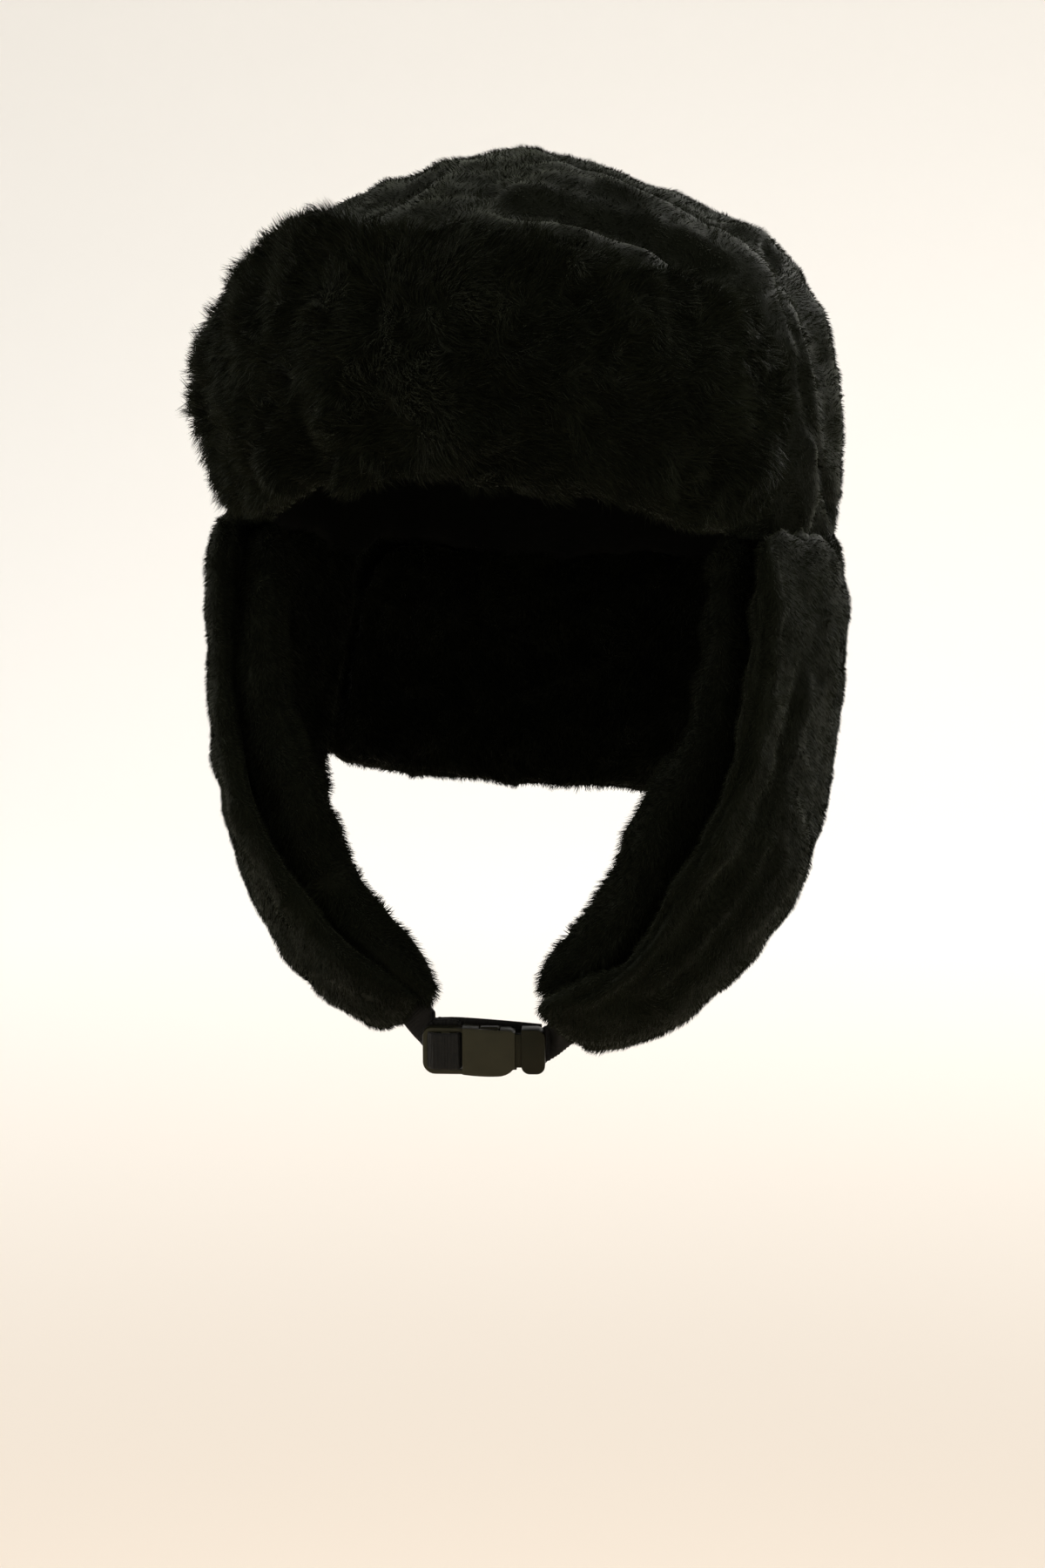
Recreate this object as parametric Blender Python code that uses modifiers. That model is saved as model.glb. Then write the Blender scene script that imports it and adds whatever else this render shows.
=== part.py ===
"""A worn ushanka of black plush fur: crown, turned-up front flap, two ear flaps and a neck flap,
each flap an outer layer over a fur lining, and a webbing chin strap with a side-release buckle.

Metres, +Z up, the face looking along -Y and the wearer's left at +X. The origin is the middle of
the head opening, at the height of the crown's rim above the ears. The hat is built as it is worn.
"""

import math

import bmesh
import bpy
import numpy as np
from mathutils import Vector

# Head opening, inside the crown at its rim
HEAD_HALF_WIDTH = 0.0815
HEAD_FRONT = 0.0960
HEAD_BACK = 0.1020
HEAD_EGG = 0.07  # share by which the opening narrows in front and widens behind

# Crown
CROWN_INSIDE_HEIGHT = 0.1060
CROWN_WALL = 0.0205
CROWN_PRESSED_WALL = 0.0110  # the pile lies flat under the front flap
CROWN_RINGS = 13
CROWN_SEGMENTS = 44
RIM_TILT = 0.155  # rise of the rim for each metre forward: the hat sits tipped back
BROW_ARCH_HEIGHT = 0.0170
SEAM_DEPTH = 0.0030
SEAM_HALF_WIDTH = 0.0060
VALLEY_DEPTH = 0.0045
PILE_LUMPS = 0.0008
RIM_TUCK = 0.0035  # the wall turns in at the rim, to its seam

# Front flap, turned up against the crown
FRONT_HALF_ANGLE = math.radians(70)
FRONT_HEIGHT = 0.0745
FRONT_THICKNESS = 0.0175
FRONT_BELOW_RIM = 0.0045
FRONT_CORNER = 0.0130
FRONT_CORNER_ROUND = 4.0  # how late the top edge turns down to the left end
FRONT_CORNER_SQUARE = 7.0  # and to the right end, which is fuller
FRONT_END_LIFT = 0.0080
FRONT_LEAN = 0.11  # share of its distance out that the flap's top leans back
FRONT_COLUMNS = 26
FRONT_ROWS = 6
LOCK_LENGTH = 0.0170
LOCK_SPACING = 0.0140
LOCK_DEPTH = 0.0025

# Ear flaps: the surface between the two layers, and the layers
EAR_OUT = 0.0880  # farthest edge from the middle plane
EAR_FORWARD = 0.0650
EAR_BACK = 0.0620
EAR_DROP = 0.1560
EAR_BOW = 0.0135
EAR_LEFT_SAG = 0.0045  # the hat is worn with its left tip a little lower
FLAP_OUTER_LAYER = 0.0125
FLAP_LINING = 0.0110
LINING_AT_CHEEK = 0.0190
EAR_COLUMNS = 6
EAR_LINING_COLUMNS = 5
EAR_ROWS = 9

# Neck flap
NECK_DROP = 0.0920
NECK_TUCK = 0.0110
NECK_CORNER = 0.0100
NECK_COLUMNS = 7
NECK_ROWS = 4

# Chin strap and buckle
WEBBING_WIDTH = 0.0110
WEBBING_THICKNESS = 0.0012
WEBBING_SLOPE = math.radians(58)  # where it passes through a window
STRAP_ROOT = 0.0040  # how far the straps reach in between the ear flaps' layers
STRAP_SEAT = 0.36  # where the straps leave the ear flaps' tips, across from -1 front to 1 rear
STRAP_TO_FRAME = 0.0006  # from the buckle's ends to where the bands straighten
TAIL_RISE = 0.0034  # the loose tail points a little upwards
BUCKLE_FORWARD = 0.0500
BUCKLE_DROP = 0.1645
BUCKLE_TURN = math.radians(12)
BUCKLE_HEIGHT = 0.0156
BUCKLE_THICKNESS = 0.0062
FRAME_LENGTH = 0.0131
FRAME_STEP = 0.0019
BODY_LENGTH = 0.0172
MALE_BASE_LENGTH = 0.0095
BUCKLE_WALL = 0.0013
FRAME_RAIL = 0.0016
FRAME_BAR = 0.0024
CROSS_BAR = 0.0016
CROSS_BAR_DEPTH = 0.0020
LOOP_SLOT = 0.0036
LOOP_SLOT_DEPTH = 0.0036
PRONG_THICKNESS = 0.0018
PRONG_LENGTH = 0.0125
GUIDE_LENGTH = 0.0095
GUIDE_THICKNESS = 0.0022
BUCKLE_PLAY = 0.0004
BUCKLE_EDGE = 0.0008

NECK_SIDE_GAP = 0.0010  # between the neck flap's sides and the ear flaps, along their sheet
SEWN_GAP = 0.0004  # between two pieces that are sewn together or touch
LAY_GAP = 0.0010  # between the turned-up flap and the crown that it lies on

# Sections of the inside of the crown from rim to apex, as shares of its height and half width
DOME_COLUMNS = ("turn", "height", "radius")
DOME_SECTIONS = (
    (0.00, 0.000, 1.000),
    (0.14, 0.165, 1.012),
    (0.28, 0.340, 1.015),
    (0.42, 0.505, 0.985),
    (0.55, 0.640, 0.932),
    (0.67, 0.750, 0.820),
    (0.78, 0.828, 0.630),
    (0.89, 0.925, 0.360),
    (1.00, 1.000, 0.000),
)

# Ear flap from rim to tip: its front and rear edges, as shares of EAR_OUT, EAR_FORWARD or
# EAR_BACK, and EAR_DROP, the bow between them as a share of EAR_BOW, and the lining's thickness
# at the cheek as a share of LINING_AT_CHEEK
EAR_TABLE_COLUMNS = (
    "along", "front_out", "front_y", "front_drop", "rear_out", "rear_y", "rear_drop", "bow", "cheek",
)
EAR_SECTIONS = (
    (0.00, 0.93, 0.72, 0.00, 0.865, 1.00, 0.00, 0.95, 0.95),
    (0.16, 0.94, 0.82, 0.19, 0.910, 0.98, 0.19, 1.00, 1.00),
    (0.31, 0.92, 0.90, 0.37, 0.950, 0.86, 0.38, 1.00, 1.10),
    (0.46, 0.85, 0.97, 0.53, 0.955, 0.62, 0.57, 1.00, 1.30),
    (0.61, 0.705, 1.00, 0.665, 0.885, 0.29, 0.73, 0.95, 1.34),
    (0.75, 0.55, 0.98, 0.765, 0.750, -0.08, 0.865, 0.75, 1.20),
    (0.88, 0.38, 0.94, 0.835, 0.545, -0.37, 0.955, 0.45, 1.00),
    (1.00, 0.225, 0.88, 0.880, 0.300, -0.62, 1.010, 0.15, 0.80),
)

# Ear flap's outer layer from front to rear: its front roll, a lengthwise groove and a fold behind
# it, as a share of FLAP_OUTER_LAYER
FOLD_COLUMNS = ("across", "fullness")
EAR_FOLDS = (
    (-1.00, 1.00),
    (-0.67, 0.90),
    (-0.40, 0.82),
    (0.00, 1.00),
    (0.50, 1.00),
    (1.00, 0.94),
)

# Thickness of the turned-up flap from its fold to its top, as a share of FRONT_THICKNESS
FRONT_TABLE_COLUMNS = ("up", "fullness")
FRONT_FULLNESS = (
    (0.00, 0.52),
    (0.20, 0.78),
    (0.50, 1.00),
    (0.75, 0.98),
    (1.00, 0.76),
)

FUR = {"colour": (0.010, 0.010, 0.009, 1.0), "roughness": 0.85}
LINING = {"colour": (0.007, 0.007, 0.007, 1.0), "roughness": 0.9}
WEBBING = {"colour": (0.016, 0.014, 0.013, 1.0), "roughness": 0.8}
PLASTIC = {"colour": (0.030, 0.028, 0.022, 1.0), "roughness": 0.38}


def clear_scene():
    for thing in list(bpy.data.objects):
        bpy.data.objects.remove(thing, do_unlink=True)


def make_collection(name):
    collection = bpy.data.collections.new(name)
    bpy.context.scene.collection.children.link(collection)
    return collection


def make_material(name, look):
    material = bpy.data.materials.new(name)
    material.use_nodes = True
    shader = material.node_tree.nodes["Principled BSDF"]
    shader.inputs["Base Color"].default_value = look["colour"]
    shader.inputs["Roughness"].default_value = look["roughness"]
    material.diffuse_color = look["colour"]
    return material


def make_object(name, mesh, collection, material=None):
    made = bpy.data.objects.new(name, mesh)
    collection.objects.link(made)
    if material is not None:
        made.data.materials.append(material)
    return made


def mesh_from(name, shape):
    mesh = bpy.data.meshes.new(name)
    shape.to_mesh(mesh)
    shape.free()
    return mesh


def bake_modifiers(thing):
    """The object's mesh as its modifiers make it, with the modifiers gone."""
    bpy.context.view_layer.update()
    graph = bpy.context.evaluated_depsgraph_get()
    mesh = bpy.data.meshes.new_from_object(thing.evaluated_get(graph))
    thing.modifiers.clear()
    thing.data = mesh
    return mesh


def smooth_value(columns, rows, wanted, share):
    """Reads one column of a table at a share of its first column, on a smooth curve."""
    keys = [row[0] for row in rows]
    values = [row[columns.index(wanted)] for row in rows]
    last = len(rows) - 1
    share = min(max(share, keys[0]), keys[last])
    i = min(max(int(np.searchsorted(keys, share, side="right")) - 1, 0), last - 1)
    span = keys[i + 1] - keys[i]
    t = (share - keys[i]) / span

    def slope(k):
        low, high = max(k - 1, 0), min(k + 1, last)
        return (values[high] - values[low]) / (keys[high] - keys[low])

    return (
        values[i] * (2 * t**3 - 3 * t**2 + 1)
        + slope(i) * span * (t**3 - 2 * t**2 + t)
        + values[i + 1] * (-2 * t**3 + 3 * t**2)
        + slope(i + 1) * span * (t**3 - t**2)
    )


def bump(distance, half_width):
    return math.exp(-((distance / half_width) ** 2))


def ease(value, low, high):
    t = min(max((value - low) / (high - low), 0.0), 1.0)
    return t * t * (3 - 2 * t)


def plan_point(angle, scale=1.0):
    """A point of the egg-shaped plan of the head. Angle 0 is the brow, + towards the left ear."""
    forward = math.cos(angle)
    width = HEAD_HALF_WIDTH * (1 - HEAD_EGG * forward)
    length = HEAD_FRONT if forward > 0 else HEAD_BACK
    return width * math.sin(angle) * scale, -length * forward * scale


def rim_height(y):
    """Height of the crown's rim at a place along the head, with its arch over the brow."""
    y = min(max(y, -HEAD_FRONT), HEAD_BACK)
    forward = max(-y / HEAD_FRONT, 0.0)
    return -y * RIM_TILT + BROW_ARCH_HEIGHT * forward**2.5


def dome_point(angle, turn):
    """The inside of the crown: turn 0 is the rim and 1 the apex."""
    radius = smooth_value(DOME_COLUMNS, DOME_SECTIONS, "radius", turn)
    height = smooth_value(DOME_COLUMNS, DOME_SECTIONS, "height", turn)
    x, y = plan_point(angle, radius)
    rim = rim_height(plan_point(angle)[1])
    return Vector((x, y, rim + (CROWN_INSIDE_HEIGHT - rim) * height))


def dome_outward(angle, turn):
    step = 0.01
    turn = min(max(turn, step), 1 - 2 * step)
    across = dome_point(angle + step, turn) - dome_point(angle - step, turn)
    up = dome_point(angle, turn + step) - dome_point(angle, turn - step)
    return across.cross(up).normalized()


def turned(angle):
    """The angle between -180 and 180 degrees."""
    return (angle + math.pi) % (2 * math.pi) - math.pi


def under_front_flap(angle, turn):
    """1 where the turned-up flap lies on the crown, 0 clear of it."""
    beside = 1 - ease(abs(turned(angle)), FRONT_HALF_ANGLE - 0.05, FRONT_HALF_ANGLE + 0.15)
    return beside * (1 - ease(turn, 0.60, 0.80))


def crown_wall(angle, turn):
    """Thickness of the crown's wall, with its seams, the valley above the flap and the uneven pile."""
    angle = turned(angle)
    pressed = under_front_flap(angle, turn)
    relief = 0.0
    girth = HEAD_HALF_WIDTH * max(smooth_value(DOME_COLUMNS, DOME_SECTIONS, "radius", turn), 0.08)
    for seam in (-90, 0, 90, 180):
        gap = abs(turned(angle - math.radians(seam))) * girth
        relief -= SEAM_DEPTH * bump(gap, SEAM_HALF_WIDTH)
        relief += 0.5 * SEAM_DEPTH * bump(gap - 2.4 * SEAM_HALF_WIDTH, SEAM_HALF_WIDTH)
    for side in (-1, 1):
        across = (angle - side * math.radians(48)) / math.radians(26)
        relief -= VALLEY_DEPTH * bump(across, 1) * bump((turn - 0.80) / 0.09, 1)
    relief += PILE_LUMPS * math.sin(5 * angle + 9 * turn) * math.sin(3 * angle - 11 * turn + 1)
    relief *= (1 - pressed) * (1 - ease(turn, 0.88, 1.0))
    tucked = RIM_TUCK * (1 - ease(turn, 0.0, 0.10))
    return CROWN_WALL + (CROWN_PRESSED_WALL - CROWN_WALL) * pressed + relief - tucked


def crown_outside(angle, turn, clear=0.0):
    return dome_point(angle, turn) + dome_outward(angle, turn) * (crown_wall(angle, turn) + clear)


def trim_at_rim(thing, keep_above):
    """Bakes the object and brings what reaches past the crown's rim back to it."""
    mesh = bake_modifiers(thing)
    for vertex in mesh.vertices:
        if keep_above:
            vertex.co.z = max(vertex.co.z, rim_height(vertex.co.y))
        else:
            vertex.co.z = min(vertex.co.z, rim_height(vertex.co.y) - SEWN_GAP)


def build_crown(collection, material):
    """The inside of the dome as an open surface, thickened outwards by the padded wall."""
    shape = bmesh.new()
    bmesh.ops.create_uvsphere(
        shape, u_segments=CROWN_SEGMENTS, v_segments=2 * CROWN_RINGS, radius=1.0
    )
    below = [v for v in shape.verts if v.co.z < -1e-4]
    bmesh.ops.delete(shape, geom=below, context="VERTS")
    walls = []
    thickest = 1.5 * CROWN_WALL
    for vertex in shape.verts:
        angle = math.atan2(vertex.co.x, -vertex.co.y)
        turn = math.asin(min(max(vertex.co.z, 0.0), 1.0)) / (math.pi / 2)
        walls.append(crown_wall(angle, turn) / thickest)
        vertex.co = dome_point(angle, turn)
    crown = make_object("crown", mesh_from("crown", shape), collection, material)
    group = crown.vertex_groups.new(name="wall")
    for index, share in enumerate(walls):
        group.add([index], share, "REPLACE")
    wall = crown.modifiers.new("padded wall", "SOLIDIFY")
    wall.thickness = thickest
    wall.offset = 1.0
    wall.vertex_group = group.name
    trim_at_rim(crown, keep_above=True)


def sheet_grid(columns, rows, place):
    """A grid of faces whose points are placed by two shares, across from -1 to 1, along 0 to 1.
    The shares of each point come back with it."""
    shape = bmesh.new()
    bmesh.ops.create_grid(shape, x_segments=columns, y_segments=rows, size=1.0)
    shares = [(vertex.co.x, (vertex.co.y + 1) / 2) for vertex in shape.verts]
    for vertex, (across, along) in zip(shape.verts, shares):
        vertex.co = place(across, along)
    return shape, shares


def pad_from(name, shape, thickness, offset, collection, material, fullness):
    """A padded layer: the open sheet thickened to one side by its thickness times each point's
    fullness, with its edges rounded."""
    pad = make_object(name, mesh_from(name, shape), collection, material)
    layer = pad.modifiers.new("layer", "SOLIDIFY")
    layer.thickness = thickness
    layer.offset = offset
    group = pad.vertex_groups.new(name="fullness")
    for index, share in enumerate(fullness):
        group.add([index], share, "REPLACE")
    layer.vertex_group = group.name
    rounding = pad.modifiers.new("rounding", "SUBSURF")
    rounding.levels = 1
    rounding.render_levels = 1
    return pad


def crown_at_height(angle, height, clear):
    """The point outside the crown at one angle and height above its rim."""
    rim = rim_height(plan_point(angle)[1])
    below = crown_outside(angle, 0.0, clear)
    for step in range(1, 46):
        above = crown_outside(angle, step * 0.02, clear)
        if above.z >= rim + height:
            share = (rim + height - below.z) / (above.z - below.z)
            return below.lerp(above, min(max(share, 0.0), 1.0))
        below = above
    return below


def front_flap_place(across, up):
    """A point of the flap's back: it lies on the crown, stands off it at the top, and its fold
    hangs just below the rim."""
    near_end = max(abs(across) - 0.55, 0.0) / 0.45
    low = -FRONT_BELOW_RIM + FRONT_END_LIFT * near_end**2
    turning = FRONT_CORNER_ROUND if across > 0 else FRONT_CORNER_SQUARE
    high = FRONT_HEIGHT - FRONT_CORNER * near_end**turning
    height = low + (high - low) * up
    angle = across * FRONT_HALF_ANGLE * (1 - 0.06 * (1 - up) ** 2)
    lying = crown_at_height(angle, max(height, 0.0), LAY_GAP)
    foot = crown_at_height(angle, 0.3 * FRONT_HEIGHT, LAY_GAP)
    out = Vector((foot.x, foot.y)).length
    leaning = out * (1 - FRONT_LEAN * max(up - 0.3, 0.0) ** 1.5 / 0.7**1.5)
    stretch = max(leaning / Vector((lying.x, lying.y)).length, 1.0)
    stretch = 1 + (stretch - 1) * ease(up, 0.25, 0.60)
    rim = rim_height(plan_point(angle)[1])
    return Vector((lying.x * stretch, lying.y * stretch, rim + height))


def lock_relief(along, up):
    """Height of the pile's locks, in rows that lie over each other like shingles."""
    row = up / LOCK_LENGTH
    shift = 0.5 * (math.floor(row) % 2)
    column = along / LOCK_SPACING + shift + 0.25 * math.sin(1.7 * row)
    side = abs(column - math.floor(column) - 0.5) * 2
    rise = row - math.floor(row)
    return rise * (1 - side**1.5) - 0.35 * side


def build_front_flap(collection, material):
    """A thick pad of long pile. Its outer face is raised in locks fused to the pad."""
    shape, shares = sheet_grid(FRONT_COLUMNS, FRONT_ROWS, front_flap_place)
    fullness = [smooth_value(FRONT_TABLE_COLUMNS, FRONT_FULLNESS, "fullness", up) for _, up in shares]
    flap = pad_from("front_flap", shape, FRONT_THICKNESS, 1.0, collection, material, fullness)
    mesh = bake_modifiers(flap)
    shape = bmesh.new()
    shape.from_mesh(mesh)
    shape.normal_update()
    moves = []
    for vertex in shape.verts:
        outward = Vector((vertex.co.x, vertex.co.y, 0)).normalized()
        facing = max(vertex.normal.dot(outward), 0.0)
        angle = math.atan2(vertex.co.x, -vertex.co.y)
        along = angle * (HEAD_FRONT + FRONT_THICKNESS)
        relief = lock_relief(along, vertex.co.z) * LOCK_DEPTH
        moves.append(vertex.normal * relief * ease(facing, 0.25, 0.8))
    for vertex, move in zip(shape.verts, moves):
        vertex.co += move
    shape.to_mesh(mesh)
    shape.free()
    return flap


def ear_edge(which, along):
    """A point of the left ear flap's front or rear edge, between its two layers."""

    def share(column):
        return smooth_value(EAR_TABLE_COLUMNS, EAR_SECTIONS, which + "_" + column, along)

    y = -share("y") * EAR_FORWARD if which == "front" else share("y") * EAR_BACK
    height = rim_height(y) * (1 - along) - share("drop") * EAR_DROP
    return Vector((share("out") * EAR_OUT, y, height))


def ear_place(side):
    """The sheet between the layers of one ear flap, bowed out between its edges."""

    def place(across, along):
        front, rear = ear_edge("front", along), ear_edge("rear", along)
        step = 0.02
        before = (ear_edge("front", along - step) + ear_edge("rear", along - step)) / 2
        after = (ear_edge("front", along + step) + ear_edge("rear", along + step)) / 2
        outward = (rear - front).cross(before - after).normalized()
        bow = smooth_value(EAR_TABLE_COLUMNS, EAR_SECTIONS, "bow", along) * EAR_BOW
        point = front.lerp(rear, (across + 1) / 2) + outward * bow * (1 - across**2)
        if along <= 0:
            point.z = rim_height(point.y) - SEWN_GAP
        if side > 0:
            point.z -= EAR_LEFT_SAG * along**2
        point.x *= side
        return point

    return place


def turn_outward(shape, centre):
    """Flips the sheet if its faces look towards the head."""
    shape.normal_update()
    looks = sum((f.calc_center_median() - centre).dot(f.normal) for f in shape.faces)
    if looks < 0:
        bmesh.ops.reverse_faces(shape, faces=shape.faces)
        shape.normal_update()


def build_layer(name, size, place, layer, collection, material, fullness):
    """One padded layer on the outer (layer 1) or inner (layer -1) side of a sheet, as thick as
    the function fullness says at each place."""
    shape, shares = sheet_grid(*size, place)
    turn_outward(shape, Vector((0, 0, -0.5 * EAR_DROP)))
    for vertex, outward in [(v, v.normal.copy()) for v in shape.verts]:
        vertex.co += outward * layer * SEWN_GAP / 2
    depths = [fullness(across, along) for across, along in shares]
    thickest = max(depths)
    weights = [depth / thickest for depth in depths]
    pad = pad_from(name, shape, thickest, float(layer), collection, material, weights)
    trim_at_rim(pad, keep_above=False)


def ear_outer_depth(across, along):
    """The ear flap's outer layer, with a lengthwise groove behind its front roll."""
    fold = smooth_value(FOLD_COLUMNS, EAR_FOLDS, "fullness", across)
    return FLAP_OUTER_LAYER * (1 - (1 - fold) * ease(along, 0.0, 0.3))


def ear_lining_depth(across, along):
    """The ear flap's lining is fullest along the cheek and the jaw."""
    cheek = smooth_value(EAR_TABLE_COLUMNS, EAR_SECTIONS, "cheek", along) * LINING_AT_CHEEK
    return FLAP_LINING + (cheek - FLAP_LINING) * (1 - ease(across, -1.0, 0.4))


def build_ear_flaps(collection, fur, lining):
    size = (EAR_COLUMNS, EAR_ROWS)
    inner_size = (EAR_LINING_COLUMNS, EAR_ROWS)
    for side, word in ((1, "left"), (-1, "right")):
        place = ear_place(side)
        build_layer("ear_flap_" + word, size, place, 1, collection, fur, ear_outer_depth)
        build_layer("ear_lining_" + word, inner_size, place, -1, collection, lining, ear_lining_depth)


def neck_place(across, down):
    """The sheet between the layers of the neck flap, round the back from ear flap to ear flap."""
    drop = NECK_DROP * down
    lift = NECK_CORNER * down
    along = 0.0
    while along < 0.6 and ear_edge("rear", along).z > rim_height(EAR_BACK) - drop + lift:
        along += 0.005
    edge = ear_edge("rear", along)
    back = HEAD_BACK + FLAP_LINING - NECK_TUCK * down**1.5
    half_angle = math.acos(edge.y / back)
    width = edge.x / math.sin(half_angle)
    angle = across * (half_angle - NECK_SIDE_GAP / back)
    x, y = width * math.sin(angle), back * math.cos(angle)
    return Vector((x, y, rim_height(y) - SEWN_GAP - drop + lift * abs(across) ** 3))


def build_neck_flap(collection, fur, lining):
    size = (NECK_COLUMNS, NECK_ROWS)
    build_layer("neck_flap", size, neck_place, 1, collection, fur, lambda *_: FLAP_OUTER_LAYER)
    build_layer("neck_lining", size, neck_place, -1, collection, lining, lambda *_: FLAP_LINING)


def box_shape(low, high, bevel=0.0, segments=2):
    """A box between two corners, with its edges rounded."""
    shape = bmesh.new()
    bmesh.ops.create_cube(shape, size=1.0)
    low, high = Vector(low), Vector(high)
    bmesh.ops.scale(shape, vec=high - low, verts=shape.verts)
    bmesh.ops.translate(shape, vec=(low + high) / 2, verts=shape.verts)
    if bevel:
        bmesh.ops.bevel(
            shape,
            geom=shape.edges[:] + shape.verts[:],
            offset=bevel,
            segments=segments,
            profile=0.5,
            affect="EDGES",
            clamp_overlap=True,
            material=-1,
        )
    return shape


def helper(name, shape, cutters):
    made = make_object(name, mesh_from(name, shape), cutters)
    made.hide_render = True
    made.display_type = "WIRE"
    return made


def combine(thing, other, operation):
    step = thing.modifiers.new(operation.lower() + " " + other.name, "BOOLEAN")
    step.operation = operation
    step.object = other
    step.solver = "EXACT"


def buckle_levels():
    """The buckle's ends and the joints between its parts, along its length about its middle."""
    whole = FRAME_LENGTH + BODY_LENGTH + MALE_BASE_LENGTH + BUCKLE_PLAY
    start = -whole / 2
    body = start + FRAME_LENGTH
    base = body + BODY_LENGTH + BUCKLE_PLAY
    return start, body, base, start + whole


def in_buckle(x, y, z):
    """A point given in the buckle's own directions, where the buckle hangs."""
    turn = Vector((math.cos(BUCKLE_TURN), math.sin(BUCKLE_TURN), 0))
    across = Vector((-turn.y, turn.x, 0))
    return Vector((0, -BUCKLE_FORWARD, -BUCKLE_DROP)) + turn * x + across * y + Vector((0, 0, z))


def cut_boxes(thing, boxes, cutters, operation="DIFFERENCE"):
    for name, corners in boxes.items():
        combine(thing, helper(name, box_shape(*corners), cutters), operation)


def frame_windows():
    """Along the buckle: the adjuster frame's window from end to end, and its cross bar's sides."""
    start, body, _, _ = buckle_levels()
    low, high = start + FRAME_BAR, body - BUCKLE_WALL
    middle = (low + high) / 2
    return low, middle - CROSS_BAR / 2, middle + CROSS_BAR / 2, high


def build_buckle_body(collection, cutters, material):
    """The hollow half, with the adjuster frame that the webbing is threaded through."""
    start, body, base, _ = buckle_levels()
    top, depth = BUCKLE_HEIGHT / 2, BUCKLE_THICKNESS / 2
    past = 2 * BUCKLE_WALL
    block = box_shape((start, -depth, -top), (base - BUCKLE_PLAY, depth, top), BUCKLE_EDGE)
    female = make_object("buckle_body", mesh_from("buckle_body", block), collection, material)
    low, bar_low, bar_high, high = frame_windows()
    rail = top - FRAME_RAIL
    hollow, inner = depth - BUCKLE_WALL, top - BUCKLE_WALL
    boxes = {
        "frame_step": ((start - past, -depth - past, -top - past), (body, FRAME_STEP - depth, top + past)),
        "near_window": ((low, -depth, -rail), (bar_low, depth + past, rail)),
        "far_window": ((bar_high, -depth, -rail), (high, depth + past, rail)),
        "bar_relief": ((low, -depth, -rail), (high, depth - CROSS_BAR_DEPTH, rail)),
        "body_hollow": ((body + BUCKLE_WALL, -hollow, -inner), (base + past, hollow, inner)),
        "release_windows": (
            (body + 0.30 * BODY_LENGTH, -hollow, -top - past),
            (body + 0.72 * BODY_LENGTH, hollow, top + past),
        ),
    }
    cut_boxes(female, boxes, cutters)
    return female


def build_buckle_prongs(collection, cutters, material):
    """The half that clicks in: its base with the loop slot, two prongs with pads, and a guide."""
    _, body, base, end = buckle_levels()
    top, depth = BUCKLE_HEIGHT / 2, BUCKLE_THICKNESS / 2
    past = 2 * BUCKLE_WALL
    block = box_shape((base, -depth, -top), (end, depth, top), 1.6 * BUCKLE_EDGE)
    male = make_object("buckle_prongs", mesh_from("buckle_prongs", block), collection, material)
    inside = depth - BUCKLE_WALL - BUCKLE_PLAY
    prong_top = top - BUCKLE_WALL - BUCKLE_PLAY
    root = base + BUCKLE_WALL
    joined = {
        "centre_guide": (
            (base - GUIDE_LENGTH, -inside, -GUIDE_THICKNESS / 2),
            (root, inside, GUIDE_THICKNESS / 2),
        ),
    }
    for word, side in (("upper", 1), ("lower", -1)):
        prong = sorted((side * prong_top, side * (prong_top - PRONG_THICKNESS)))
        pad = sorted((side * (prong_top - PRONG_THICKNESS / 2), side * (top + BUCKLE_PLAY)))
        joined[word + "_prong"] = ((base - PRONG_LENGTH, -inside, prong[0]), (root, inside, prong[1]))
        joined[word + "_pad"] = (
            (body + 0.34 * BODY_LENGTH, -inside, pad[0]),
            (body + 0.68 * BODY_LENGTH, inside, pad[1]),
        )
    cut_boxes(male, joined, cutters, "UNION")
    slot_end = end - FRAME_BAR
    slot = {
        "loop_slot": (
            (slot_end - LOOP_SLOT, depth - LOOP_SLOT_DEPTH, FRAME_RAIL - top),
            (slot_end, depth + past, top - FRAME_RAIL),
        ),
    }
    cut_boxes(male, slot, cutters)
    return male


def build_buckle(collection, cutters, material):
    for part in (
        build_buckle_body(collection, cutters, material),
        build_buckle_prongs(collection, cutters, material),
    ):
        bake_modifiers(part)
        part.rotation_euler = (0, 0, BUCKLE_TURN)
        part.location = in_buckle(0, 0, 0)


def webbing_band(name, route, collection, material):
    """A flat band through a route of stations, each a middle point and the band's direction
    across there."""

    def place(across, along):
        middle, sideways = route[round(along * (len(route) - 1))]
        return middle + sideways.normalized() * WEBBING_WIDTH / 2 * across

    shape, _ = sheet_grid(1, len(route) - 1, place)
    band = make_object(name, mesh_from(name, shape), collection, material)
    weave = band.modifiers.new("thickness", "SOLIDIFY")
    weave.thickness = WEBBING_THICKNESS
    weave.offset = 0.0
    weave.use_even_offset = True
    return band


def strap_root(side):
    """Where a strap is sewn into its ear flap's tip, its way out and the direction across it."""
    place = ear_place(side)
    seat = place(STRAP_SEAT, 1.0)
    onward = (seat - place(STRAP_SEAT, 0.96)).normalized()
    sideways = place(STRAP_SEAT - 0.2, 1.0) - place(STRAP_SEAT + 0.2, 1.0)
    return seat - onward * STRAP_ROOT, onward, sideways.normalized()


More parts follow.
